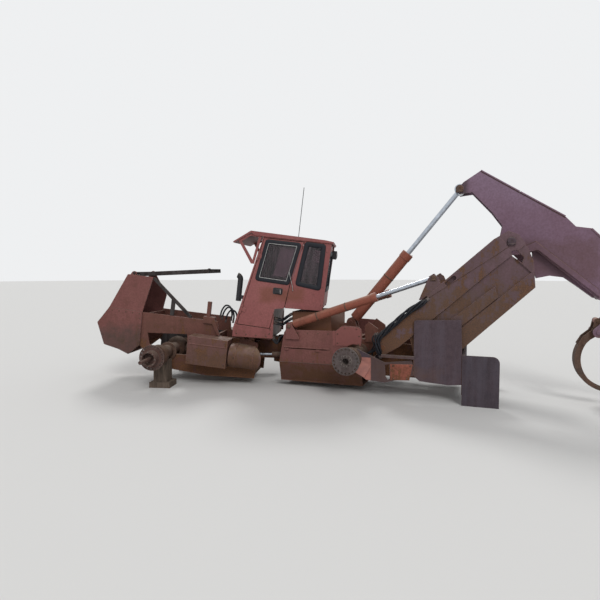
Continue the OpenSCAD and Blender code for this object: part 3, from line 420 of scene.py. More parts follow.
def painted(name, paint, bleached_and_sunlit, rust, share, wet, dry, **more):
    """Old paint: three colours, the share of bare places, and the heights between which damp fades."""
    return shaded(name, old_paint, {"Paint": paint, "Bleached": bleached_and_sunlit, "Rust": rust, "Share": share,
                                    "Wet Height": wet, "Dry Height": dry}, **more)

def rusted(name, dark, light, rubbed, rub, **more):
    """Bare old steel: three colours and the share of the rubbed places."""
    return shaded(name, old_steel, {"Dark": dark, "Light": light, "Rubbed": rubbed, "Rub": rub}, **more)

# These paint colours are darker and bluer than the paint itself: painted shade. The purple in the boom,
# arch, tower and butt plates is painted sky reflection over their own colour.
RED, PALE_RED, BROWN = (0.245, 0.078, 0.076), (0.38, 0.16, 0.148), (0.085, 0.042, 0.028)
# a region is (middle, half size, softness, colour, share)
finishes = {
    "cab": painted("cab_paint",
        RED, PALE_RED, BROWN, -0.055, 0.6, 1.3, coat=0.06, edge=(0.46, 0.22, 0.19), regions=[
            ((-1.02, -0.38, 1.50), (0.34, 0.30, 0.10), 0.10, (0.15, 0.055, 0.03), 0.75)]),
    "nose": painted("nose_paint",
        (0.175, 0.066, 0.060), (0.30, 0.135, 0.120), BROWN, 0.0, 0.35, 1.25, regions=[
            ((-3.9, -0.85, 0.60), (0.85, 0.5, 0.34), 0.20, (0.064, 0.047, 0.041), 0.8)]),
    "tank": painted("tank_paint",
        (0.145, 0.068, 0.062), (0.26, 0.125, 0.105), (0.07, 0.042, 0.03), 0.015, 0.35, 1.25, regions=[
            ((-2.15, -0.75, 0.42), (0.9, 0.6, 0.16), 0.10, (0.09, 0.052, 0.04), 0.6)]),
    "rail": painted("rail_paint",
        (0.135, 0.055, 0.043), (0.22, 0.10, 0.08), (0.07, 0.038, 0.026), 0.03, 0.25, 1.2),
    "belly": painted("belly_paint",
        (0.175, 0.068, 0.062), (0.33, 0.15, 0.125), (0.08, 0.04, 0.025), -0.01, 0.28, 0.8, regions=[
            ((-0.55, -0.2, 0.18), (0.9, 0.5, 0.22), 0.10, (0.095, 0.048, 0.03), 0.8),
            ((0.06, -0.3, 0.90), (0.22, 0.2, 0.16), 0.03, (0.25, 0.088, 0.08), 0.75)]),
    "frame": painted("frame_paint",
        (0.15, 0.06, 0.045), (0.27, 0.12, 0.09), (0.075, 0.038, 0.024), 0.04, 0.4, 1.1, regions=[
            ((-0.58, 0.40, 1.05), (0.45, 0.5, 0.22), 0.05, (0.155, 0.07, 0.035), 0.8)]),
    "boom": painted("boom_paint",
        (0.190, 0.114, 0.160), (0.30, 0.225, 0.32), (0.09, 0.056, 0.058), -0.05, 0.9, 2.0, coat=0.05,
        dust=0.2, edge=(0.42, 0.24, 0.22), regions=[
            ((1.65, 0.40, 3.08), (0.10, 0.3, 0.13), 0.05, (0.045, 0.032, 0.032), 0.9),
            # The darker patch low on the boom towards its tip is painted shade under the boom.
            ((2.95, 0.40, 2.05), (0.55, 0.6, 0.26), 0.12, (0.105, 0.055, 0.05), 0.6)]),
    "arch": painted("arch_paint",
        (0.135, 0.082, 0.095), (0.21, 0.14, 0.16), (0.068, 0.046, 0.038), 0.05, 0.9, 2.3,
        edge=(0.34, 0.2, 0.19), regions=[
            ((1.75, -0.2, 1.15), (0.6, 0.42, 0.5), 0.20, (0.10, 0.066, 0.052), 0.55)]),
    "tube": painted("cylinder_paint",
        (0.255, 0.075, 0.048), (0.40, 0.17, 0.12), BROWN, -0.05, 0.8, 1.4, coat=0.08,
        edge=(0.42, 0.2, 0.15)),
    "tower": rusted("rubbed_plate",
        (0.062, 0.044, 0.052), (0.092, 0.064, 0.074), (0.098, 0.08, 0.1), 0.4,
        edge=(0.2, 0.13, 0.12), regions=[
            ((1.0, 0.40, 0.38), (0.40, 1.3, 0.06), 0.16, (0.11, 0.062, 0.045), 0.55),
            ((0.76, -0.30, 0.43), (0.33, 0.10, 0.30), 0.05, (0.095, 0.058, 0.048), 0.8),
            # The bright pink patch on the slanting pad by the rear axle is painted sunlight on its top.
            ((0.315, -0.33, 0.43), (0.135, 0.08, 0.17), 0.012, (0.47, 0.2, 0.16), 0.95)]),
    # The butt plate's dark purple-grey is painted shade with painted sky reflection.
    "butt": rusted("scraped_plate",
        (0.048, 0.038, 0.046), (0.074, 0.056, 0.066), (0.085, 0.073, 0.092), 0.45,
        edge=(0.2, 0.13, 0.12)),
    "scale": rusted("rust_scale",
        (0.05, 0.032, 0.025), (0.135, 0.072, 0.048), (0.15, 0.12, 0.105), 0.3, bump=0.6,
        edge=(0.2, 0.12, 0.08)),
    "iron": rusted("machined_iron",
        (0.06, 0.045, 0.042), (0.125, 0.095, 0.09), (0.17, 0.155, 0.155), 0.35, bump=0.35,
        metallic=0.25, edge=(0.34, 0.3, 0.27), regions=[
            ((-2.78, -1.25, 0.54), (0.35, 0.40, 0.3), 0.05, (0.115, 0.055, 0.042), 0.85)]),
    # Near black; on the hood and on the sheet inside the engine bay this black is painted shade.
    "drum": rusted("oily_black",
        (0.018, 0.016, 0.016), (0.045, 0.034, 0.032), (0.08, 0.075, 0.075), 0.4,
        edge=(0.14, 0.11, 0.1)),
    "repair": painted("repair_paint",
        (0.30, 0.085, 0.055), (0.42, 0.17, 0.12), BROWN, 0.0, 0.2, 0.7),
    "bead": rusted("weld_bead",
        (0.06, 0.034, 0.028), (0.14, 0.075, 0.06), (0.18, 0.13, 0.12), 0.35, bump=0.3, edge_share=0.0),
}
print("materials:", len(finishes))

# %% [markdown]
# Chrome, rubber, glass and timber are simpler than old paint, but none is one flat colour.
# The rods are dulled by dust, the rubber has gone grey, the timber has grain along its height.

# %% Materials of single kinds
def plain(name, colour, rough, metallic=0.0, grain=30.0, spread=0.35, bump=0.2, dust=0.25,
          stretch=(1, 1, 1)):
    """colour times stretched noise between (1 - spread) and (1 + spread), the same noise as relief."""
    finish, w, shader = new_finish(name)
    pattern = w.noise(grain, 6, 0.6, w.squeezed(stretch))
    dark = tuple(max(0.0, c * (1 - spread)) for c in colour)
    light = tuple(min(1.0, c * (1 + spread)) for c in colour)
    body = w.blend(w.ramp(pattern, 0.3, 0.7), dark, light)
    dusted(w, shader, body, dust)
    embossed(w, shader, pattern, bump, 0.002)
    w.fill(shader, {"Roughness": w.ramp(pattern, 0.3, 0.7, rough - 0.08, rough + 0.1),
                    "Metallic": metallic, "Specular IOR Level": 0.25})
    return finish

def tinted_glass(name):
    """Dark see-through glass under streaked dust: where the dust is thick it turns dull and opaque."""
    finish, w, shader = new_finish(name)
    streak = w.noise(3.0, 6, 0.65, w.squeezed((6.0, 6.0, 0.8)))
    smear = w.noise(2.2, 5, 0.6)
    film = w.times(w.ramp(w.times(streak, smear), 0.18, 0.5), 0.3)
    w.fill(shader, {"Base Color": w.blend(film, (0.24, 0.17, 0.20), (0.10, 0.07, 0.07)),
                    "Transmission Weight": w.ramp(film, 0.0, 0.3, 0.97, 0.7),
                    "Roughness": w.ramp(film, 0.0, 0.3, 0.02, 0.35), "IOR": 1.45})
    return finish

finishes["chrome"] = plain("dull_chrome", (0.46, 0.50, 0.56), 0.26, metallic=0.85, grain=14, spread=0.2,
                           bump=0.05, dust=0.3)
finishes["rubber"] = plain("grey_rubber", (0.013, 0.014, 0.019), 0.6, grain=60, dust=0.12)
finishes["seat"] = plain("cracked_vinyl", (0.035, 0.033, 0.032), 0.55, grain=90, bump=0.5, dust=0.5)
finishes["timber"] = plain("weathered_timber", (0.105, 0.078, 0.06), 0.85, grain=9, spread=0.5,
                           bump=0.8, dust=0.2, stretch=(5, 5, 0.5))
finishes["black"] = plain("faded_black", (0.030, 0.029, 0.032), 0.55, grain=40, dust=0.35)
finishes["bright"] = plain("bright_steel", (0.42, 0.41, 0.40), 0.35, metallic=0.7, grain=40, dust=0.2)
finishes["lens"] = plain("clouded_lens", (0.55, 0.56, 0.6), 0.22, grain=25, spread=0.12, bump=0.1,
                         dust=0.3)
finishes["glass"] = tinted_glass("tinted_glass")

# %% [markdown]
# Each solid gets the finish that it shows in the photograph. The solids keep their shape and place,
# only the material in their slot changes.

# %% Dress the solids
WEARS = {
    "cab": ["cab_side_left", "cab_side_right", "cab_rear", "cab_front", "cab_roof",
            "door_left", "door_right"],
    "nose": ["nose_guard"],
    "tank": ["side_tanks"],
    "rail": ["front_frame", "cab_floor"],
    "belly": ["rear_panels"],
    "frame": ["rear_frame"],
    "boom": ["boom", "grapple_head"],
    "arch": ["arch"],
    "tube": ["boom_barrel", "arch_barrel_left", "arch_barrel_right", "tong_barrel"],
    "tower": ["tower_plates"],
    "butt": ["butt_plate"],
    "scale": ["rear_axle", "front_axle", "nose_grille", "grapple_link", "tong_left", "tong_right",
              "steer_barrel_left", "steer_barrel_right"],
    "iron": ["hub_rear_left", "hub_rear_right", "hub_front_left", "hub_front_right", "boom_shaft"],
    "chrome": ["boom_rod", "arch_rod_left", "arch_rod_right", "steer_rod_left", "steer_rod_right",
               "tong_rod"],
    # The hood's near black is painted shade.
    "drum": ["nose_brace", "hood"],
    "black": ["window_guards", "steering_wheel", "cab_fittings"],
    "seat": ["seat"],
    "timber": ["front_stand"],
}
dressed = 0
for finish_name, node_names in WEARS.items():
    for node_name in node_names:
        solid = frame["nodes"][node_name]
        solid.data.materials.clear()
        solid.data.materials.append(finishes[finish_name])
        dressed += 1
print("solids dressed:", dressed, "of", len(frame["nodes"]))

# %% [markdown]
# Everything added below is a surface worked out by formula on a grid of points.
# A grid is a stack of closed rings: a section swept along a path, a profile turned about an axis,
# or a frame that follows a window's outline. Each grid is wound so that its faces look outwards.

# %% Makers of surfaces
def unit(vectors):
    """vector / its length, for one vector or a stack of them."""
    vectors = np.asarray(vectors, float)
    return vectors / np.linalg.norm(vectors, axis=-1, keepdims=True)

class Shape:
    """Several closed surfaces that become one object."""

    def __init__(self):
        self.points, self.quads, self.caps = [], [], []
        self.count = 0

    def rings(self, rings, closed=False):
        """Joins neighbouring rings of an (n, m, 3) grid with quads; open stacks get a cap at both ends.
        The winding is turned round where the sum of corner x (side x side) about the middle is negative."""
        n, m = rings.shape[:2]
        flat = rings.reshape(-1, 3)
        index = np.arange(n * m).reshape(n, m)
        over = np.roll(index, -1, axis=0)
        here, there = (index, over) if closed else (index[:-1], over[:-1])
        quads = np.stack([here, np.roll(here, -1, 1), np.roll(there, -1, 1), there], -1).reshape(-1, 4)
        corner = flat[quads] - flat.mean(axis=0)
        square = np.cross(corner[:, 2] - corner[:, 0], corner[:, 1] - corner[:, 3])
        way = -1 if np.einsum("ij,ij->", corner[:, 0], square) > 0 else 1
        self.quads.append(quads[:, ::way] + self.count)
        if not closed:
            self.caps.append((index[0][::-way] + self.count).tolist())
            self.caps.append((index[-1][::way] + self.count).tolist())
        self.points.append(flat)
        self.count += n * m
        return self

    def stand(self, name, finish, body, smooth=True):
        """The finished object in one of the finishes, riding on a body of the model."""
        mesh = bpy.data.meshes.new(name)
        faces = np.vstack(self.quads).tolist() + self.caps
        mesh.from_pydata(np.vstack(self.points).tolist(), [], faces)
        shade = np.zeros(len(faces), bool)
        shade[:len(faces) - len(self.caps)] = smooth
        mesh.polygons.foreach_set("use_smooth", shade)
        mesh.materials.append(finishes[finish])
        thing = bpy.data.objects.new(name, mesh)
        bpy.context.collection.objects.link(thing)
        if body:
            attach(thing, body)
        return thing

def even(line, step):
    """The same line, cut again into equal steps of about the given length."""
    line = np.asarray(line, float)
    run = np.concatenate([[0.0], np.cumsum(np.linalg.norm(np.diff(line, axis=0), axis=1))])
    at = np.linspace(0, run[-1], max(3, int(round(run[-1] / step)) + 1))
    return np.stack([np.interp(at, run, line[:, axis]) for axis in range(3)], -1)

def smooth_path(points, step):
    """A curve through the points: each stretch is a cubic whose ends point along their neighbours."""
    p = np.asarray(points, float)
    p = np.vstack([2 * p[0] - p[1], p, 2 * p[-1] - p[-2]])
    t = np.linspace(0, 1, 24, endpoint=False)[:, None]
    parts = []
    for a, b, c, d in zip(p, p[1:], p[2:], p[3:]):
        bow, twist = 2 * a - 5 * b + 4 * c - d, 3 * b - a - 3 * c + d
        parts.append(0.5 * (2 * b + (c - a) * t + bow * t ** 2 + twist * t ** 3))
    return even(np.vstack(parts + [p[-2:-1]]), step)

def swept(path, section, up, closed=False):
    """rings = path point + section x * side + section y * lift, with side and lift square to the path."""
    path, section = np.asarray(path, float), np.asarray(section, float)
    ahead = np.roll(path, -1, 0) - np.roll(path, 1, 0) if closed else np.gradient(path, axis=0)
    side = unit(np.cross(unit(ahead), up))
    lift = np.cross(side, unit(ahead))
    return path[:, None] + section[..., 0:1] * side[:, None] + section[..., 1:2] * lift[:, None]

def circle(radius, around=10):
    """A round section, radius * (cos, sin)."""
    angle = np.linspace(0, 2 * np.pi, around, endpoint=False)
    return radius * np.stack([np.cos(angle), np.sin(angle)], -1)

def turned(profile, place, axis, around=20):
    """rings = place + height * axis + radius * (cos, sin) in the plane square to the axis."""
    profile, axis = np.asarray(profile, float), unit(axis)
    u = unit(np.cross((0, 0, 1) if abs(axis[2]) < 0.9 else (1, 0, 0), axis))
    v = np.cross(axis, u)
    round_line = circle(1.0, around)
    spokes = round_line[:, :1] * u + round_line[:, 1:] * v
    return np.asarray(place) + profile[:, 1, None, None] * axis + profile[:, 0, None, None] * spokes

def rounded_loop(outline, inset, radius, per_corner=7):
    """The outline moved inwards, with arcs for corners.
    An arc's middle is the corner + (both inward normals) * (inset + radius) / (1 + their product)."""
    p = np.asarray(outline, float)
    beyond = np.roll(p, -1, 0)
    if np.sum(p[:, 0] * beyond[:, 1] - beyond[:, 0] * p[:, 1]) < 0:
        p = p[::-1]
    along = unit(np.roll(p, -1, 0) - p)
    inward = np.stack([-along[:, 1], along[:, 0]], -1)
    before = np.roll(inward, 1, 0)
    middle = p + (before + inward) * (inset + radius) / (1 + (before * inward).sum(-1, keepdims=True))
    first = np.arctan2(-before[:, 1], -before[:, 0])
    opening = (np.arctan2(-inward[:, 1], -inward[:, 0]) - first) % (2 * np.pi)
    angle = first[:, None] + opening[:, None] * np.linspace(0, 1, per_corner)
    return (middle[:, None] + radius * np.stack([np.cos(angle), np.sin(angle)], -1)).reshape(-1, 2)

def bolt(shape, place, axis, size, stud=True):
    """A washer, a six-sided head with its corners cut off, and the thread's end, as shares of its size."""
    washer = [(1.15, -0.1), (1.15, 0.16), (1.05, 0.2)]
    head = [(0.9, 0.15), (0.95, 0.25), (0.95, 0.72), (0.8, 0.84)]
    thread = [(0.5, 0.7), (0.5, 1.25), (0.4, 1.35)]
    for profile, around in ((washer, 16), (head, 6), (thread, 10))[:3 if stud else 2]:
        shape.rings(turned(np.array(profile) * size, place, axis, around))

def bead(shape, path, up, radius=0.0045):
    """A weld seam: a round section whose radius swells with each ripple, radius * (1 + 0.2 |sin|)."""
    line = even(path, radius * 0.9)
    swell = 1 + 0.2 * np.abs(np.sin(np.arange(len(line)) * 0.9))
    shape.rings(swept(line, swell[:, None, None] * circle(radius, 7)[None], up))

def plate(shape, corners, out, thick, place, radius=0.004, soft=0.003):
    """A flat piece with rounded corners and softened edges; place turns flat points into the model."""
    layers = [(0.0, out), (0.0, out + thick - soft), (soft, out + thick)]
    round_off = max(radius, soft) + 0.001
    grid = [place(rounded_loop(corners, inset, round_off, 4), height) for inset, height in layers]
    shape.rings(np.stack(grid))

def how_many(word):
    """The number of pieces whose name holds a word."""
    return sum(word in thing.name for thing in bpy.data.objects)

print("makers are ready")

# %% [markdown]
# The machine was measured straight and level, with the rear axle over the origin.
# Parked, its front half is pitched and turned about the hinge between the halves.
# These functions carry a measured point to its place on the model.

# %% From the measured machine to the model
MIDDLE = np.array([-0.180, -0.405, 0.0])
HINGE = np.array([-1.450, 0.0, 0.560])
PITCH, TURN = math.radians(6.5), math.radians(14.0)
CAB_Y = 0.640
LEG_FOOT, LEG_TOP = np.array([0.430, 0.750]), np.array([2.160, 2.290])
LEG_Y, BOOM_Y = 0.660, 0.150
HUB_Y, WHEELBASE, REAR_AXLE_Z, FRONT_AXLE_Z = 1.150, 3.300, 0.600, 0.330
SIDES = (("left", -1), ("right", 1))

def leaning(angle):
    """The matrix of a turn about Y."""
    c, s = math.cos(angle), math.sin(angle)
    return np.array([[c, 0, s], [0, 1, 0], [-s, 0, c]])

def turned_front():
    """matrix = turn about Z times pitch about Y."""
    pitch = leaning(PITCH)
    turn = np.array([[math.cos(TURN), -math.sin(TURN), 0], [math.sin(TURN), math.cos(TURN), 0], [0, 0, 1]])
    return turn @ pitch

FRONT = turned_front()

def rear(points):
    """model = measured - middle: the rear half and everything it carries."""
    return np.asarray(points, float) - MIDDLE

def front(points):
    """model = hinge + turned (measured - hinge) - middle."""
    return (np.asarray(points, float) - HINGE) @ FRONT.T + HINGE - MIDDLE

def upright(half, y, side=-1):
    """A maker of places on an upright plane at |y|, side -1 left or 1 right, out away from the middle."""
    def place(flat, out=0.0):
        flat = np.asarray(flat, float)
        across = np.full(flat.shape[:-1], side * (y + out))
        return half(np.stack([flat[..., 0], across, flat[..., 1]], -1))
    return place

def on_leg(points):
    """(along, above) the line of the arch's leg, from its foot to the boom's shaft, to measured (x, z)."""
    line = unit(LEG_TOP - LEG_FOOT)
    square = np.array([-line[1], line[0]])
    points = np.asarray(points, float)
    return LEG_FOOT + points[..., :1] * line + points[..., 1:] * square

LEG_LENGTH = float(np.linalg.norm(LEG_TOP - LEG_FOOT))
OUT_LEFT = {"rear": np.array([0, -1.0, 0]), "front": FRONT @ np.array([0, -1.0, 0])}
print("leg length", round(LEG_LENGTH, 3), "front half turned by", round(math.degrees(TURN), 1))

# %% [markdown]
# Hoses first. A hose is a tube on a curve through a few chosen points. One bundle comes out of the near
# leg's lower pocket and goes in behind the gusset, winding round its middle line. Two bundles cross the
# hinge between the halves; like the leg's bundle they ride on no body and are baked in place.
# The others loop behind the gusset and beside the engine bay.

# %% Hoses
HOSE_STEP = 0.012

def hose(name, points, body, diameter, up=(0, 1, 0), wind=None, bend=None):
    """A tube along a smooth path, its cover slightly rippled, with a crimped sleeve at each end.
    wind is (phase, reach, rate) about the path; when bend is given, tube and sleeves ride on no body and
    are baked in place, and what bend holds is not used."""
    line = smooth_path(points, HOSE_STEP)
    if wind:
        phase, reach, rate = wind
        run = np.arange(len(line)) * HOSE_STEP
        ahead = unit(np.gradient(line, axis=0))
        side = unit(np.cross(ahead, up))
        lift = np.cross(side, ahead)
        fade = np.clip(np.minimum(run, run[-1] - run) / 0.12, 0.35, 1)
        angle, fade = (phase + rate * run)[:, None], fade[:, None]
        line = line + reach * fade * (np.cos(angle) * side + np.sin(angle) * lift)
    line = even(line, HOSE_STEP)
    swell = 1 + 0.02 * np.sin(np.arange(len(line)) * 1.7)
    shape = Shape()
    shape.rings(swept(line, swell[:, None, None] * circle(diameter / 2, 12)[None], up))
    tube = shape.stand(name, "rubber", None if bend else body)
    sleeves = Shape()
    for end, inner in ((line[0], line[3]), (line[-1], line[-4])):
        r = diameter / 2
        profile = [(r * 1.02, -0.002), (r * 1.25, 0.004), (r * 1.25, 0.02), (r * 1.12, 0.024),
                   (r * 1.25, 0.028), (r * 1.25, 0.045), (r * 1.02, 0.05)]
        sleeves.rings(turned(profile, end, inner - end, 14))
    ends = sleeves.stand(name + "_sleeves", "iron", None if bend else body)
    if bend:
        for piece in (tube, ends):
            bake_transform(piece)
    tuple(line[0])
    [tuple(point) for point in line]
    return tube

LEG_ROUTE = rear([(1.085, -0.640, 1.490), (1.020, -0.690, 1.440), (0.819, -0.702, 1.305),
                  (0.640, -0.702, 1.144), (0.477, -0.706, 0.992), (0.374, -0.710, 0.870),
                  (0.385, -0.690, 0.720), (0.410, -0.640, 0.600)])
for count in range(5):
    hose(f"leg_hose_{count + 1}", LEG_ROUTE + (0, -0.012, 0), "arch", diameter=0.028,
         wind=(count * 2 * math.pi / 5, 0.032, 6.5),
         bend=(("rear", "arch"), rear((0.40, -0.70, 0.62)), rear((0.47, -0.70, 0.98))))

TANGLE = [(0.345, -0.560, 0.960), (0.300, -0.590, 0.880), (0.330, -0.620, 0.790),
          (0.290, -0.630, 0.700), (0.215, -0.610, 0.640), (0.190, -0.560, 0.560)]
for count, shift in enumerate([(0, 0, 0), (0.055, 0.05, 0.02), (-0.05, 0.09, -0.02)]):
    hose(f"gusset_hose_{count + 1}", rear(np.array(TANGLE) + shift), "rear", diameter=0.022)

CAB_REAR = [(-1.083, -0.340, 1.120), (-1.190, -0.345, 1.055)]
CAB_FRONT = [(-1.420, -0.350, 1.010), (-1.556, -0.350, 1.020)]
for count in range(6):
    step = np.array([0, -0.055 * (count % 3), 0.075 * (count // 3)])
    route = np.vstack([rear(np.array(CAB_REAR) + step), front(np.array(CAB_FRONT) + step)])
    hose(f"cab_hose_{count + 1}", route, "rear", diameter=0.034,
         bend=(("rear", "front"), rear((-1.18, 0, 1.0)), rear((-1.48, 0, 1.0))))

HINGE_REAR = [(-1.118, -0.130, 0.740), (-1.195, -0.215, 0.835), (-1.290, -0.310, 0.800)]
HINGE_FRONT = [(-1.465, -0.395, 0.705), (-1.557, -0.395, 0.790)]
for count in range(5):
    spread = np.array([0, -0.036, 0]) * count
    route = np.vstack([rear(np.array(HINGE_REAR) + spread), front(np.array(HINGE_FRONT) + spread)])
    hose(f"hinge_hose_{count + 1}", route, "rear", diameter=0.030, up=(0.3, 0, 1),
         bend=(("rear", "front"), rear((-1.22, 0, 0.5)), rear((-1.46, 0, 0.5))))

BAY_ROUTE = [(-2.450, -0.380, 0.960), (-2.430, -0.400, 1.080), (-2.370, -0.410, 1.175),
             (-2.290, -0.410, 1.160), (-2.250, -0.400, 1.050), (-2.260, -0.380, 0.930)]
for count, shift in enumerate([(0, 0, 0), (0.05, 0.05, -0.045), (-0.06, 0.10, 0.02)]):
    hose(f"bay_hose_{count + 1}", front(np.array(BAY_ROUTE) + shift), "front", diameter=0.028)

# %% [markdown]
# The windows sit in wide black rubber. Its section is a low hump that laps over the sheet,
# drawn once as (inset from the opening, height over the sheet) and carried round the opening's outline.
# A bright strip is pressed into the hump near the glass.

# %% Window rubbers and glass
RUBBER_HUMP = [(-0.016, 0.000), (-0.018, 0.006), (-0.010, 0.012), (0.014, 0.014), (0.040, 0.012),
               (0.056, 0.006), (0.058, -0.006), (0.050, -0.024), (0.004, -0.024), (0.002, -0.004)]
STRIP = [(0.041, 0.011), (0.042, 0.016), (0.048, 0.016), (0.050, 0.010)]
SIDE_REAR_WINDOW = [(-1.165, 2.375), (-0.860, 2.365), (-0.865, 1.660), (-1.245, 1.700)]
DOOR_WINDOW = [(-1.900, 1.705), (-1.790, 2.345), (-1.245, 2.345), (-1.372, 1.690)]
BACK_WINDOW = [(-0.4796, 1.640), (0.4796, 1.640), (0.4796, 2.280), (-0.4796, 2.280)]
FRONT_WINDOW = [(-0.5096, 1.450), (0.5096, 1.450), (0.5096, 2.300), (-0.5096, 2.300)]

def carried(outline, section, place, radius=0.035):
    """Every point of the section, carried once round the outline."""
    loops = [(rounded_loop(outline, inset, max(radius - inset, 0.010)), out) for inset, out in section]
    return np.stack([place(loop, out) for loop, out in loops])

def on_back(flat, out=0.0):
    """A place on the cab's back wall; flat is (y, z)."""
    return front(np.stack([np.full(len(flat), -0.782 + out), flat[:, 0], flat[:, 1]], -1))

def on_screen(flat, out=0.0):
    """A place on the leaning front wall, from its foot at (x, z) to its top; flat is (y, z)."""
    foot, top = (-2.190, 0.900), (-1.850, 2.400)
    lean = math.atan2(top[0] - foot[0], top[1] - foot[1])
    x = foot[0] + (flat[:, 1] - foot[1]) * math.tan(lean)
    return front(np.stack([x - out * math.cos(lean), flat[:, 0], flat[:, 1] + out * math.sin(lean)], -1))

def window(name, outline, place, body, strip=True):
    """Rubber, bright strip and pane of one window."""
    seal = Shape().rings(carried(outline, RUBBER_HUMP, place), closed=True)
    seal.stand(name + "_rubber", "rubber", body)
    if strip:
        line = Shape().rings(carried(outline, STRIP, place), closed=True)
        line.stand(name + "_strip", "bright", body)
    pane = carried(outline, [(0.030, -0.012), (0.030, -0.017)], place)
    return Shape().rings(pane).stand(name + "_glass", "glass", body, smooth=False)

for side_name, side in SIDES:
    wall = upright(front, CAB_Y, side)
    window(f"door_window_{side_name}", DOOR_WINDOW, wall, f"door_{side_name}")
    window(f"side_window_{side_name}", SIDE_REAR_WINDOW, wall, "front", strip=False)
window("back_window", BACK_WINDOW, on_back, "front", strip=False)
window("front_window", FRONT_WINDOW, on_screen, "front")
print("windows:", how_many("_glass"))

# %% [markdown]
# Small hardware is placed from short tables. A bolt is a washer, a six-sided head and its thread's end,
# and every group of bolts on one body is one object.

# %% Bolts and studs
def bolts(name, body, finish, groups):
    """One object of many bolts; a group is (places, outward axis, size, whether the thread shows)."""
    shape = Shape()
    for places, axis, size, stud in groups:
        for place in places:
            bolt(shape, place, axis, size, stud)
    return shape.stand(name, finish, body, smooth=False)

def ring_of(count, radius, middle, axis):
    """Places equally spaced on a circle square to the axis."""
    return turned([(radius, 0.0)], middle, axis, count)[0]

def row(start, end, count):
    """Places equally spaced on a line, both ends included."""
    return np.linspace(start, end, count)

CAP_OUT, BOSS_OUT, SHAFT_OUT = 0.006, 0.130, 0.420
WHEEL_NUTS, WHEEL_NUTS_R = 20, 0.175
CAP_BOLTS, CAP_BOLTS_R = 10, 0.073
BOSS_STUDS, BOSS_STUDS_R = 8, 0.1065
TEETH = 20
STUD = [(0.0065, -0.004), (0.0065, 0.030), (0.005, 0.033)]
STUD_NUT = [(0.012, 0.0), (0.0125, 0.002), (0.0125, 0.009), (0.011, 0.011)]
NUT_SEAT = [(0.0112, -0.001), (0.0112, 0.0012), (0.0165, 0.0012), (0.0175, -0.001)]

def open_hub(hub, face, shaft_end, axis):
    """The hub that has lost its cap: studs and nuts on its boss, and the splines of the half-shaft."""
    studs = Shape()
    for place in ring_of(BOSS_STUDS, BOSS_STUDS_R, face, axis):
        studs.rings(turned(STUD, place, axis, 10))
        studs.rings(turned(STUD_NUT, place, axis, 6))
    studs.stand(hub + "_studs", "iron", hub, smooth=False)
    around = np.linspace(0, 2 * np.pi, 4 * TEETH, endpoint=False)
    teeth = (0.0285 + 0.0016 * np.sign(np.sin(TEETH * around)))[:, None] * circle(1.0, 4 * TEETH)
    line = np.stack([shaft_end - axis * back for back in (0.110, 0.105, 0.004, 0.0)])
    narrowed = teeth[None] * np.array([0.96, 1, 1, 0.96])[:, None, None]
    Shape().rings(swept(line, narrowed, (0, 0, 1))).stand("half_shaft_splines", "iron", hub)

for half, x, z, carry in (("rear", 0.0, REAR_AXLE_Z, rear), ("front", -WHEELBASE, FRONT_AXLE_Z, front)):
    for side_name, side in SIDES:
        axis = -side * OUT_LEFT[half]
        hub = f"hub_{half}_{side_name}"
        if hub == "hub_front_left":
            open_hub(hub, carry((x, -HUB_Y - BOSS_OUT, z)), carry((x, -HUB_Y - SHAFT_OUT, z)), axis)
        seats = Shape()
        for place in ring_of(WHEEL_NUTS, WHEEL_NUTS_R, carry((x, side * HUB_Y, z)), axis):
            seats.rings(turned(NUT_SEAT, place, axis, 20), closed=True)
        seats.stand(hub + "_nut_seats", "drum", hub)
        if hub != "hub_front_left":
            face = carry((x, side * (HUB_Y + CAP_OUT), z))
            places = ring_of(CAP_BOLTS, CAP_BOLTS_R, face, axis)
            bolts(hub + "_cap_bolts", hub, "iron", [(places, axis, 0.011, True)])

LEFT = OUT_LEFT["front"]
skirt = np.vstack([row((-2.130, 0.800), (-1.640, 0.812), 4), [(-1.590, 0.860), (-1.583, 0.930)]])
pillar = [(-0.822, z) for z in (1.42, 1.70, 1.98, 2.26)]
corner_post = [(-2.148, 1.02), (-2.120, 1.14), (-2.090, 1.27)]
for side_name, side in SIDES:
    axis, wall = -side * LEFT, upright(front, CAB_Y, side)
    bolts(f"cab_bolts_{side_name}", "front", "scale", [
        (wall(skirt, 0.001), axis, 0.010, False), (wall(pillar, 0.001), axis, 0.006, False),
        (wall(corner_post, 0.001), axis, 0.006, False)])

REAR_LEFT = OUT_LEFT["rear"]
panel = upright(rear, 0.620)
tower = upright(rear, 0.700)
panel_rows = np.vstack([row((-1.085, 0.905), (-0.420, 0.915), 5), row((-1.200, 0.470), (-0.300, 0.470), 6)])
ear_places = [(-0.265, 0.780), (-0.265, 0.920), (-0.150, 1.010), (0.030, 1.005), (0.072, 0.900),
              (0.065, 0.775)]
bolts("panel_bolts", "rear", "scale", [
    (panel(panel_rows), REAR_LEFT, 0.009, False), (panel(ear_places, 0.008), REAR_LEFT, 0.009, True)])
foot_places = [(0.600, 0.500), (0.850, 0.512), (0.800, 0.320), (0.605, 0.305)]
bolts("tower_bolts", "rear", "scale", [
    (tower(foot_places, 0.006), REAR_LEFT, 0.011, True),
    (tower([(0.480, 0.640), (0.640, 0.640), (0.800, 0.640)], 0.045), REAR_LEFT, 0.008, False)])
nose_rows = np.vstack([row((-4.330, 0.900), (-3.850, 0.895), 5), row((-3.835, 0.820), (-3.835, 0.420), 4)])
bolts("nose_bolts", "front", "scale", [(upright(front, 0.478)(nose_rows), LEFT, 0.009, False)])

tank_face = upright(front, 0.800)
bolts("tank_bolts", "front", "scale", [
    (tank_face([(-2.835, 0.640), (-2.835, 0.280), (-2.250, 0.640), (-2.250, 0.280)]), LEFT, 0.010, True),
    (tank_face([(-2.098, 0.430), (-1.808, 0.430)], 0.008), LEFT, 0.010, True)])
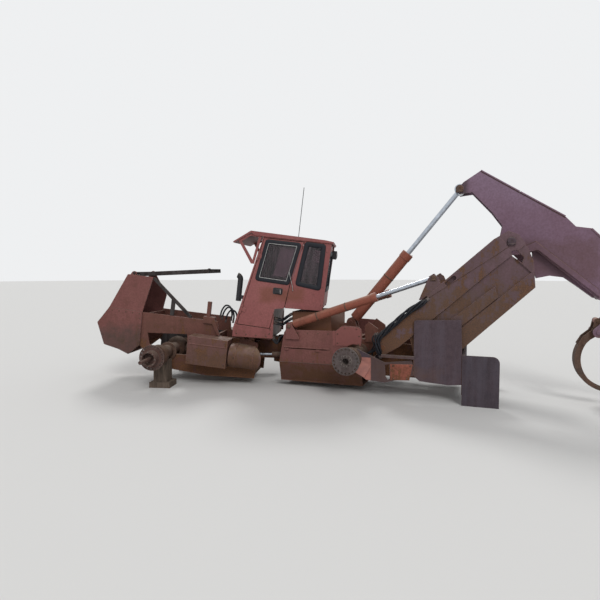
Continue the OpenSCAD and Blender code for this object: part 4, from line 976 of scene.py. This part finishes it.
# A near-black sheet on the inside of the far frame plate, behind the openings: painted shade in the empty
# engine bay.
dark_sheet = Shape()
dark_sheet_wall = upright(front, 0.4195, 1)
dark_sheet_corners = [(-3.770, 0.100), (-2.580, 0.100), (-2.580, 0.660), (-3.770, 0.640)]
plate(dark_sheet, dark_sheet_corners, -0.004, 0.004, dark_sheet_wall)
dark_sheet.stand("bay_liner", "drum", "front")
print("bolt groups:", how_many("bolts"))

# %% [markdown]
# Thin plates that lie on the big ones: the red repair plate on the gusset, the keeper bars that stop the
# pins from turning, the door's handle in its black dish, and the bracket beside the door.

# %% Plates, keepers and handles
repair = Shape()
plate(repair, [(0.560, 0.284), (0.838, 0.300), (0.884, 0.536), (0.556, 0.524)], 0.0005, 0.006, tower)
repair.stand("gusset_repair_plate", "repair", "rear")

def pin_cap(name, body, place, axis, radius, finish):
    """A pin's domed end with a centre hole, a grease nipple, and the keeper bar with its two bolts."""
    shape = Shape()
    r = radius
    dome = [(r, -0.004), (r, 0.006), (r * 0.93, 0.012), (r * 0.55, 0.014), (r * 0.16, 0.014),
            (r * 0.13, 0.009)]
    shape.rings(turned(dome, place, axis, 28))
    middle = np.asarray(place) + unit(axis) * 0.013
    nipple = [(0.006, -0.006), (0.006, 0.003), (0.003, 0.004), (0.0035, 0.009), (0.002, 0.011)]
    shape.rings(turned(nipple, middle, axis, 10))
    drop = np.array([0, 0, 1.0]) * r * 0.86
    across = unit(np.cross(axis, (0, 0, 1)))
    ends = np.array([middle - drop - across * r, middle - drop, middle - drop + across * r])
    section = [(-0.006, -0.011), (0.004, -0.011), (0.006, -0.009), (0.006, 0.009), (0.004, 0.011),
               (-0.006, 0.011)]
    shape.rings(swept(ends - unit(axis) * 0.004, section, np.cross(across, axis)))
    for end in (ends[0] + across * 0.014, ends[2] - across * 0.014):
        bolt(shape, end + unit(axis) * 0.002, axis, 0.008)
    return shape.stand(name, finish, body)

# name, body, x, half width y, z, radius, finish
PINS = (("shaft", "boom_shaft", LEG_TOP[0], 0.674, LEG_TOP[1], 0.054, "tower"),
        ("boom_tip", "boom", 3.620, 0.162, 1.700, 0.030, "scale"),
        ("boom_eye", "boom", 1.460, 0.170, 3.100, 0.053, "scale"),
        ("arch_eye", "arch", 1.150, 0.660, 1.790, 0.036, "scale"),
        ("arch_base", "rear", -1.050, 0.666, 1.021, 0.026, "scale"))
for side_name, side in SIDES:
    for pin, body, x, y, z, radius, finish in PINS:
        place = rear((x, side * y, z))
        pin_cap(f"{pin}_cap_{side_name}", body, place, np.array([0, float(side), 0]), radius, finish)

for side_name, side in SIDES:
    wall, outward = upright(front, CAB_Y, side), -side * LEFT
    dish = Shape()
    dish.rings(carried([(-1.606, 1.508), (-1.450, 1.508), (-1.450, 1.612), (-1.606, 1.612)],
                       [(0.0, -0.004), (0.0, 0.004), (0.004, 0.006), (0.012, 0.006), (0.016, 0.003)],
                       wall, 0.022))
    dish.rings(carried([(-1.568, 1.522), (-1.462, 1.522), (-1.462, 1.598), (-1.568, 1.598)],
                       [(0.0, 0.002), (0.0, 0.026), (0.004, 0.030), (0.014, 0.031)], wall, 0.018))
    dish.stand(f"handle_dish_{side_name}", "black", f"door_{side_name}")
    lever = Shape()
    grip = wall([(-1.486, 1.594), (-1.484, 1.570), (-1.480, 1.545), (-1.478, 1.526)], 0.036)
    lever.rings(swept(smooth_path(grip, 0.004), circle(1.0, 10) * np.array([0.007, 0.015]), outward))
    lever.stand(f"handle_lever_{side_name}", "bright", f"door_{side_name}")
    stay = Shape()
    bar = wall([(-1.372, 1.870), (-1.352, 1.805), (-1.326, 1.735), (-1.300, 1.660), (-1.288, 1.600)], 0.014)
    flat_bar = circle(1.0, 8) * np.array([0.016, 0.005])
    stay.rings(swept(smooth_path(bar, 0.008), flat_bar, np.cross(LEFT, bar[-1] - bar[0])))
    for place in (bar[0], bar[-1]):
        bolt(stay, place + outward * 0.003, outward, 0.007)
    stay.stand(f"pillar_bracket_{side_name}", "bright", "front")

lens = Shape()
lamp_face = front((-0.7017, 0.480, 2.255))
lamp_out = FRONT @ np.array([1.0, 0, 0])
dome = [(0.050, -0.004), (0.050, 0.006), (0.046, 0.009), (0.036, 0.014), (0.020, 0.018), (0.006, 0.0195)]
lens.rings(turned(dome, lamp_face, lamp_out, 28))
lens.stand("lamp_lens", "lens", "front")
rim = circle(0.005, 8) + np.array([0.054, 0.006])
ring = Shape().rings(turned(rim, lamp_face, lamp_out, 28), closed=True)
ring.stand("lamp_rim", "bright", "front")

# %% [markdown]
# Weld seams join the plates. Each is a bead along a line of the drawing, with the ripples of a hand weld.

# %% Weld seams
def seams(name, body, place, lines, up, radius=0.0045):
    """One object with a bead along every line; lines are flat points, place carries them to the model."""
    shape = Shape()
    for flat, out in lines:
        bead(shape, place(np.asarray(flat, float), out), up, radius)
    return shape.stand(name, "bead", body)

EAR = [(-0.296, 0.738), (-0.296, 0.955), (-0.222, 1.025), (-0.178, 1.038), (0.058, 1.030), (0.095, 0.994),
       (0.108, 0.860), (0.090, 0.738)]
seams("panel_seams", "rear", panel, [(EAR, 0.001), ([(-1.235, 0.434), (-0.100, 0.436)], 0.001)], (0, 1, 0))
seams("tower_seams", "rear", tower, [
    ([(0.895, 0.380), (0.895, 0.600)], 0.001), ([(1.560, 0.150), (1.560, 0.690)], 0.001),
    ([(0.420, 0.620), (0.895, 0.614)], 0.001)], (0, 1, 0), 0.006)

def leg_face(side):
    """A maker of places on the face of one of the arch's legs; flat is (along the leg, above its line)."""
    lay = upright(rear, LEG_Y, side)
    return lambda flat, out=0.0: lay(on_leg(flat), out)

STRIP_EDGE = [(0.655, 0.155), (0.986, 0.126), (LEG_LENGTH - 0.233, -0.019), (LEG_LENGTH - 0.078, -0.032)]
UPPER_BAR = [(0.562, -0.292), (LEG_LENGTH - 0.562, -0.332), (LEG_LENGTH - 0.622, -0.468), (0.522, -0.460)]
LOWER_BAR = [(0.476, -0.488), (LEG_LENGTH - 0.092, -0.482)]
POCKET = [(0.200, -0.146), (LEG_LENGTH - 0.400, -0.142)]
leg_lines = [(STRIP_EDGE, 0.001), (UPPER_BAR, -0.044), (LOWER_BAR, -0.044), (POCKET, -0.043)]
for side_name, side in SIDES:
    seams(f"leg_seams_{side_name}", "arch", leg_face(side), leg_lines, (0, 1, 0), 0.005)

ROOT, TIP, EYE = LEG_TOP, np.array([3.620, 1.700]), np.array([1.460, 3.100])
belly = [ROOT + (0.150, -0.146), ROOT + (0.230, -0.036), ROOT + (0.345, 0.014), TIP + (-0.330, -0.056),
         TIP + (-0.305, -0.166)]
back = [EYE + (0.290, 0.232), ROOT + (0.120, 0.704)]
crest = [ROOT + (0.124, 0.704), ROOT + (0.706, 0.336)]
for side_name, side in SIDES:
    cheek = upright(rear, BOOM_Y, side)
    lines = [(line, 0.001) for line in (belly, back, crest)]
    seams(f"boom_seams_{side_name}", "boom", cheek, lines, (0, 1, 0), 0.005)
NOSE_EDGE = [(-4.384, 0.940), (-3.808, 0.930), (-3.808, 0.366), (-3.992, 0.193), (-4.168, 0.258),
             (-4.424, 0.308), (-4.572, 0.664), (-4.384, 0.940)]
seams("nose_seams", "front", upright(front, 0.470), [(NOSE_EDGE, 0.001)], LEFT)
print("seams:", how_many("seams"))

# %% [markdown]
# The boom cylinder and the two arch cylinders get their ports: a boss near either end of the barrel, an
# elbow with its nut, and the steel pipe that runs along the barrel. The barrel's own line gives every
# place.

# %% Ports and pipes of the cylinders
def ports(name, foot, head, radius, reach, side_out):
    """Bosses at both ends of a barrel from foot towards head, joined by a pipe beside it."""
    foot, head = rear(foot), rear(head)
    ahead = unit(head - foot)
    outward = unit(side_out - ahead * np.dot(side_out, ahead))
    shape = Shape()
    r = radius
    ends = [foot + ahead * 0.130, foot + ahead * (reach - 0.060)]
    for place in ends:
        base = place + outward * (r - 0.006)
        shape.rings(turned([(0.022, 0), (0.022, 0.018), (0.019, 0.021)], base, outward, 20))
        union = [(0.0175, 0.018), (0.018, 0.020), (0.018, 0.034), (0.016, 0.037)]
        shape.rings(turned(union, base, outward, 6))
    start, finish = ends[0] + outward * (r + 0.030), ends[1] + outward * (r + 0.030)
    pipe = [ends[0] + outward * (r + 0.010), start + ahead * 0.004, start + ahead * 0.030,
            finish - ahead * 0.030, finish - ahead * 0.004, ends[1] + outward * (r + 0.010)]
    shape.rings(swept(smooth_path(pipe, 0.010), circle(0.0075, 10), np.cross(ahead, outward)))
    for share in (0.33, 0.66):
        place = foot + ahead * reach * share
        band = circle(1.0, 8) * np.array([0.0025, 0.009]) + np.array([r + 0.002, 0])
        shape.rings(turned(band, place, ahead, 36), closed=True)
        stub = [(0.013, r - 0.002), (0.013, r + 0.024), (0.010, r + 0.026)]
        shape.rings(turned(stub, place, outward, 12))
    return shape.stand(name, "scale", name.replace("_ports", ""))

ARCH_FOOT, ARCH_EYE = np.array([-1.050, 0, 1.021]), np.array([1.150, 0, 1.790])
ports("boom_barrel_ports", (-0.190, 0, 1.055), (1.460, 0, 3.100), 0.086, 1.420, np.array([0.6, 0.8, 0.0]))
for side_name, side in SIDES:
    shift, out = np.array([0, side * 0.600, 0]), np.array([0, -side * 0.9, -0.5])
    ports(f"arch_barrel_{side_name}_ports", ARCH_FOOT + shift, ARCH_EYE + shift, 0.064, 1.460, out)
print("ports on 3 cylinders")

# %% [markdown]
# The seat's cushions are stuffed. Each starts as a low crowned block and is blown up with cloth pressure,
# held to a few millimetres, so that its sides belly between the corners. Piping follows its edge.

# %% Seat cushions
VOXEL, STUFFING, CLOTH_FRAMES, SWELL_CAP = 0.012, 4.0, 20, 0.012

def crowned_block(size, crown, n=28):
    """A pad: x = cos(v)^0.5 cos(u)^0.35, y = cos(v)^0.5 sin(u)^0.35, z = sin(v)^0.6 plus a crown on top."""
    u = np.linspace(0, 2 * np.pi, 2 * n, endpoint=False)
    v = np.linspace(-np.pi / 2, np.pi / 2, n)

    def power(wave, p):
        return np.sign(wave) * np.abs(wave) ** p

    flat = power(np.cos(v), 0.5)[1:-1, None]
    x = flat * power(np.cos(u), 0.35)[None]
    y = flat * power(np.sin(u), 0.35)[None]
    dome = crown * (1 - x ** 2) * (1 - y ** 2) * (np.sin(v)[1:-1, None] > 0)
    z = power(np.sin(v), 0.6)[1:-1, None] + dome
    return np.stack([x * size[0] / 2, y * size[1] / 2, z * size[2] / 2 + 0 * x], -1)

def apply_all(thing):
    """Bakes the modifiers of a thing into its mesh."""
    baked = bpy.data.meshes.new_from_object(thing.evaluated_get(bpy.context.evaluated_depsgraph_get()))
    finish = thing.data.materials[0]
    thing.modifiers.clear()
    thing.data = baked
    baked.materials.clear()
    baked.materials.append(finish)
    baked.polygons.foreach_set("use_smooth", np.ones(len(baked.polygons), bool))

def stuffed(thing):
    """Voxel remesh, some frames of cloth under pressure, then each point's way is cut to the cap."""
    remesh = thing.modifiers.new("even", "REMESH")
    remesh.mode = "VOXEL"
    remesh.voxel_size = VOXEL
    apply_all(thing)
    start = np.empty(len(thing.data.vertices) * 3)
    thing.data.vertices.foreach_get("co", start)
    cloth = thing.modifiers.new("stuffing", "CLOTH")
    cloth.settings.use_pressure = True
    cloth.settings.uniform_pressure_force = STUFFING
    cloth.settings.effector_weights.gravity = 0.0
    for step in range(1, CLOTH_FRAMES + 1):
        bpy.context.scene.frame_set(step)
    moved = np.empty_like(start)
    result = thing.evaluated_get(bpy.context.evaluated_depsgraph_get()).to_mesh()
    result.vertices.foreach_get("co", moved)
    way = (moved - start).reshape(-1, 3)
    far = np.linalg.norm(way, axis=1, keepdims=True)
    way *= np.minimum(1.0, SWELL_CAP / np.maximum(far, 1e-9))
    thing.modifiers.clear()
    thing.data.vertices.foreach_set("co", (start.reshape(-1, 3) + way).ravel())
    thing.data.update()
    bpy.context.scene.frame_set(1)

def cushion(name, middle, size, lean):
    """One cushion at a measured place of the cab, leaning back about Y, with piping round its edge."""
    turn = leaning(lean)
    grid = front(crowned_block(size, 0.25) @ turn.T + np.asarray(middle))
    thing = Shape().rings(grid).stand(name, "seat", None)
    stuffed(thing)
    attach(thing, "front")
    corners = np.array([(-1, -1), (1, -1), (1, 1), (-1, 1)]) * np.array(size[:2]) / 2
    edge = rounded_loop(corners, 0.004, 0.05)
    line = front(np.column_stack([edge, np.full(len(edge), size[2] * 0.12)]) @ turn.T + np.asarray(middle))
    cord = swept(line, circle(0.006, 8), FRONT @ turn @ np.array([0, 0, 1.0]), closed=True)
    Shape().rings(cord, closed=True).stand(name + "_piping", "seat", "front")
    return thing

cushion("seat_cushion", (-1.320, 0, 1.462), (0.520, 0.540, 0.170), 0.0)
cushion("back_cushion", (-1.035, 0, 1.800), (0.620, 0.500, 0.150), math.radians(-100))

# %% [markdown]
# The last line sets the view transform to Standard.

# %% Finish
bpy.context.scene.view_settings.view_transform = "Standard"
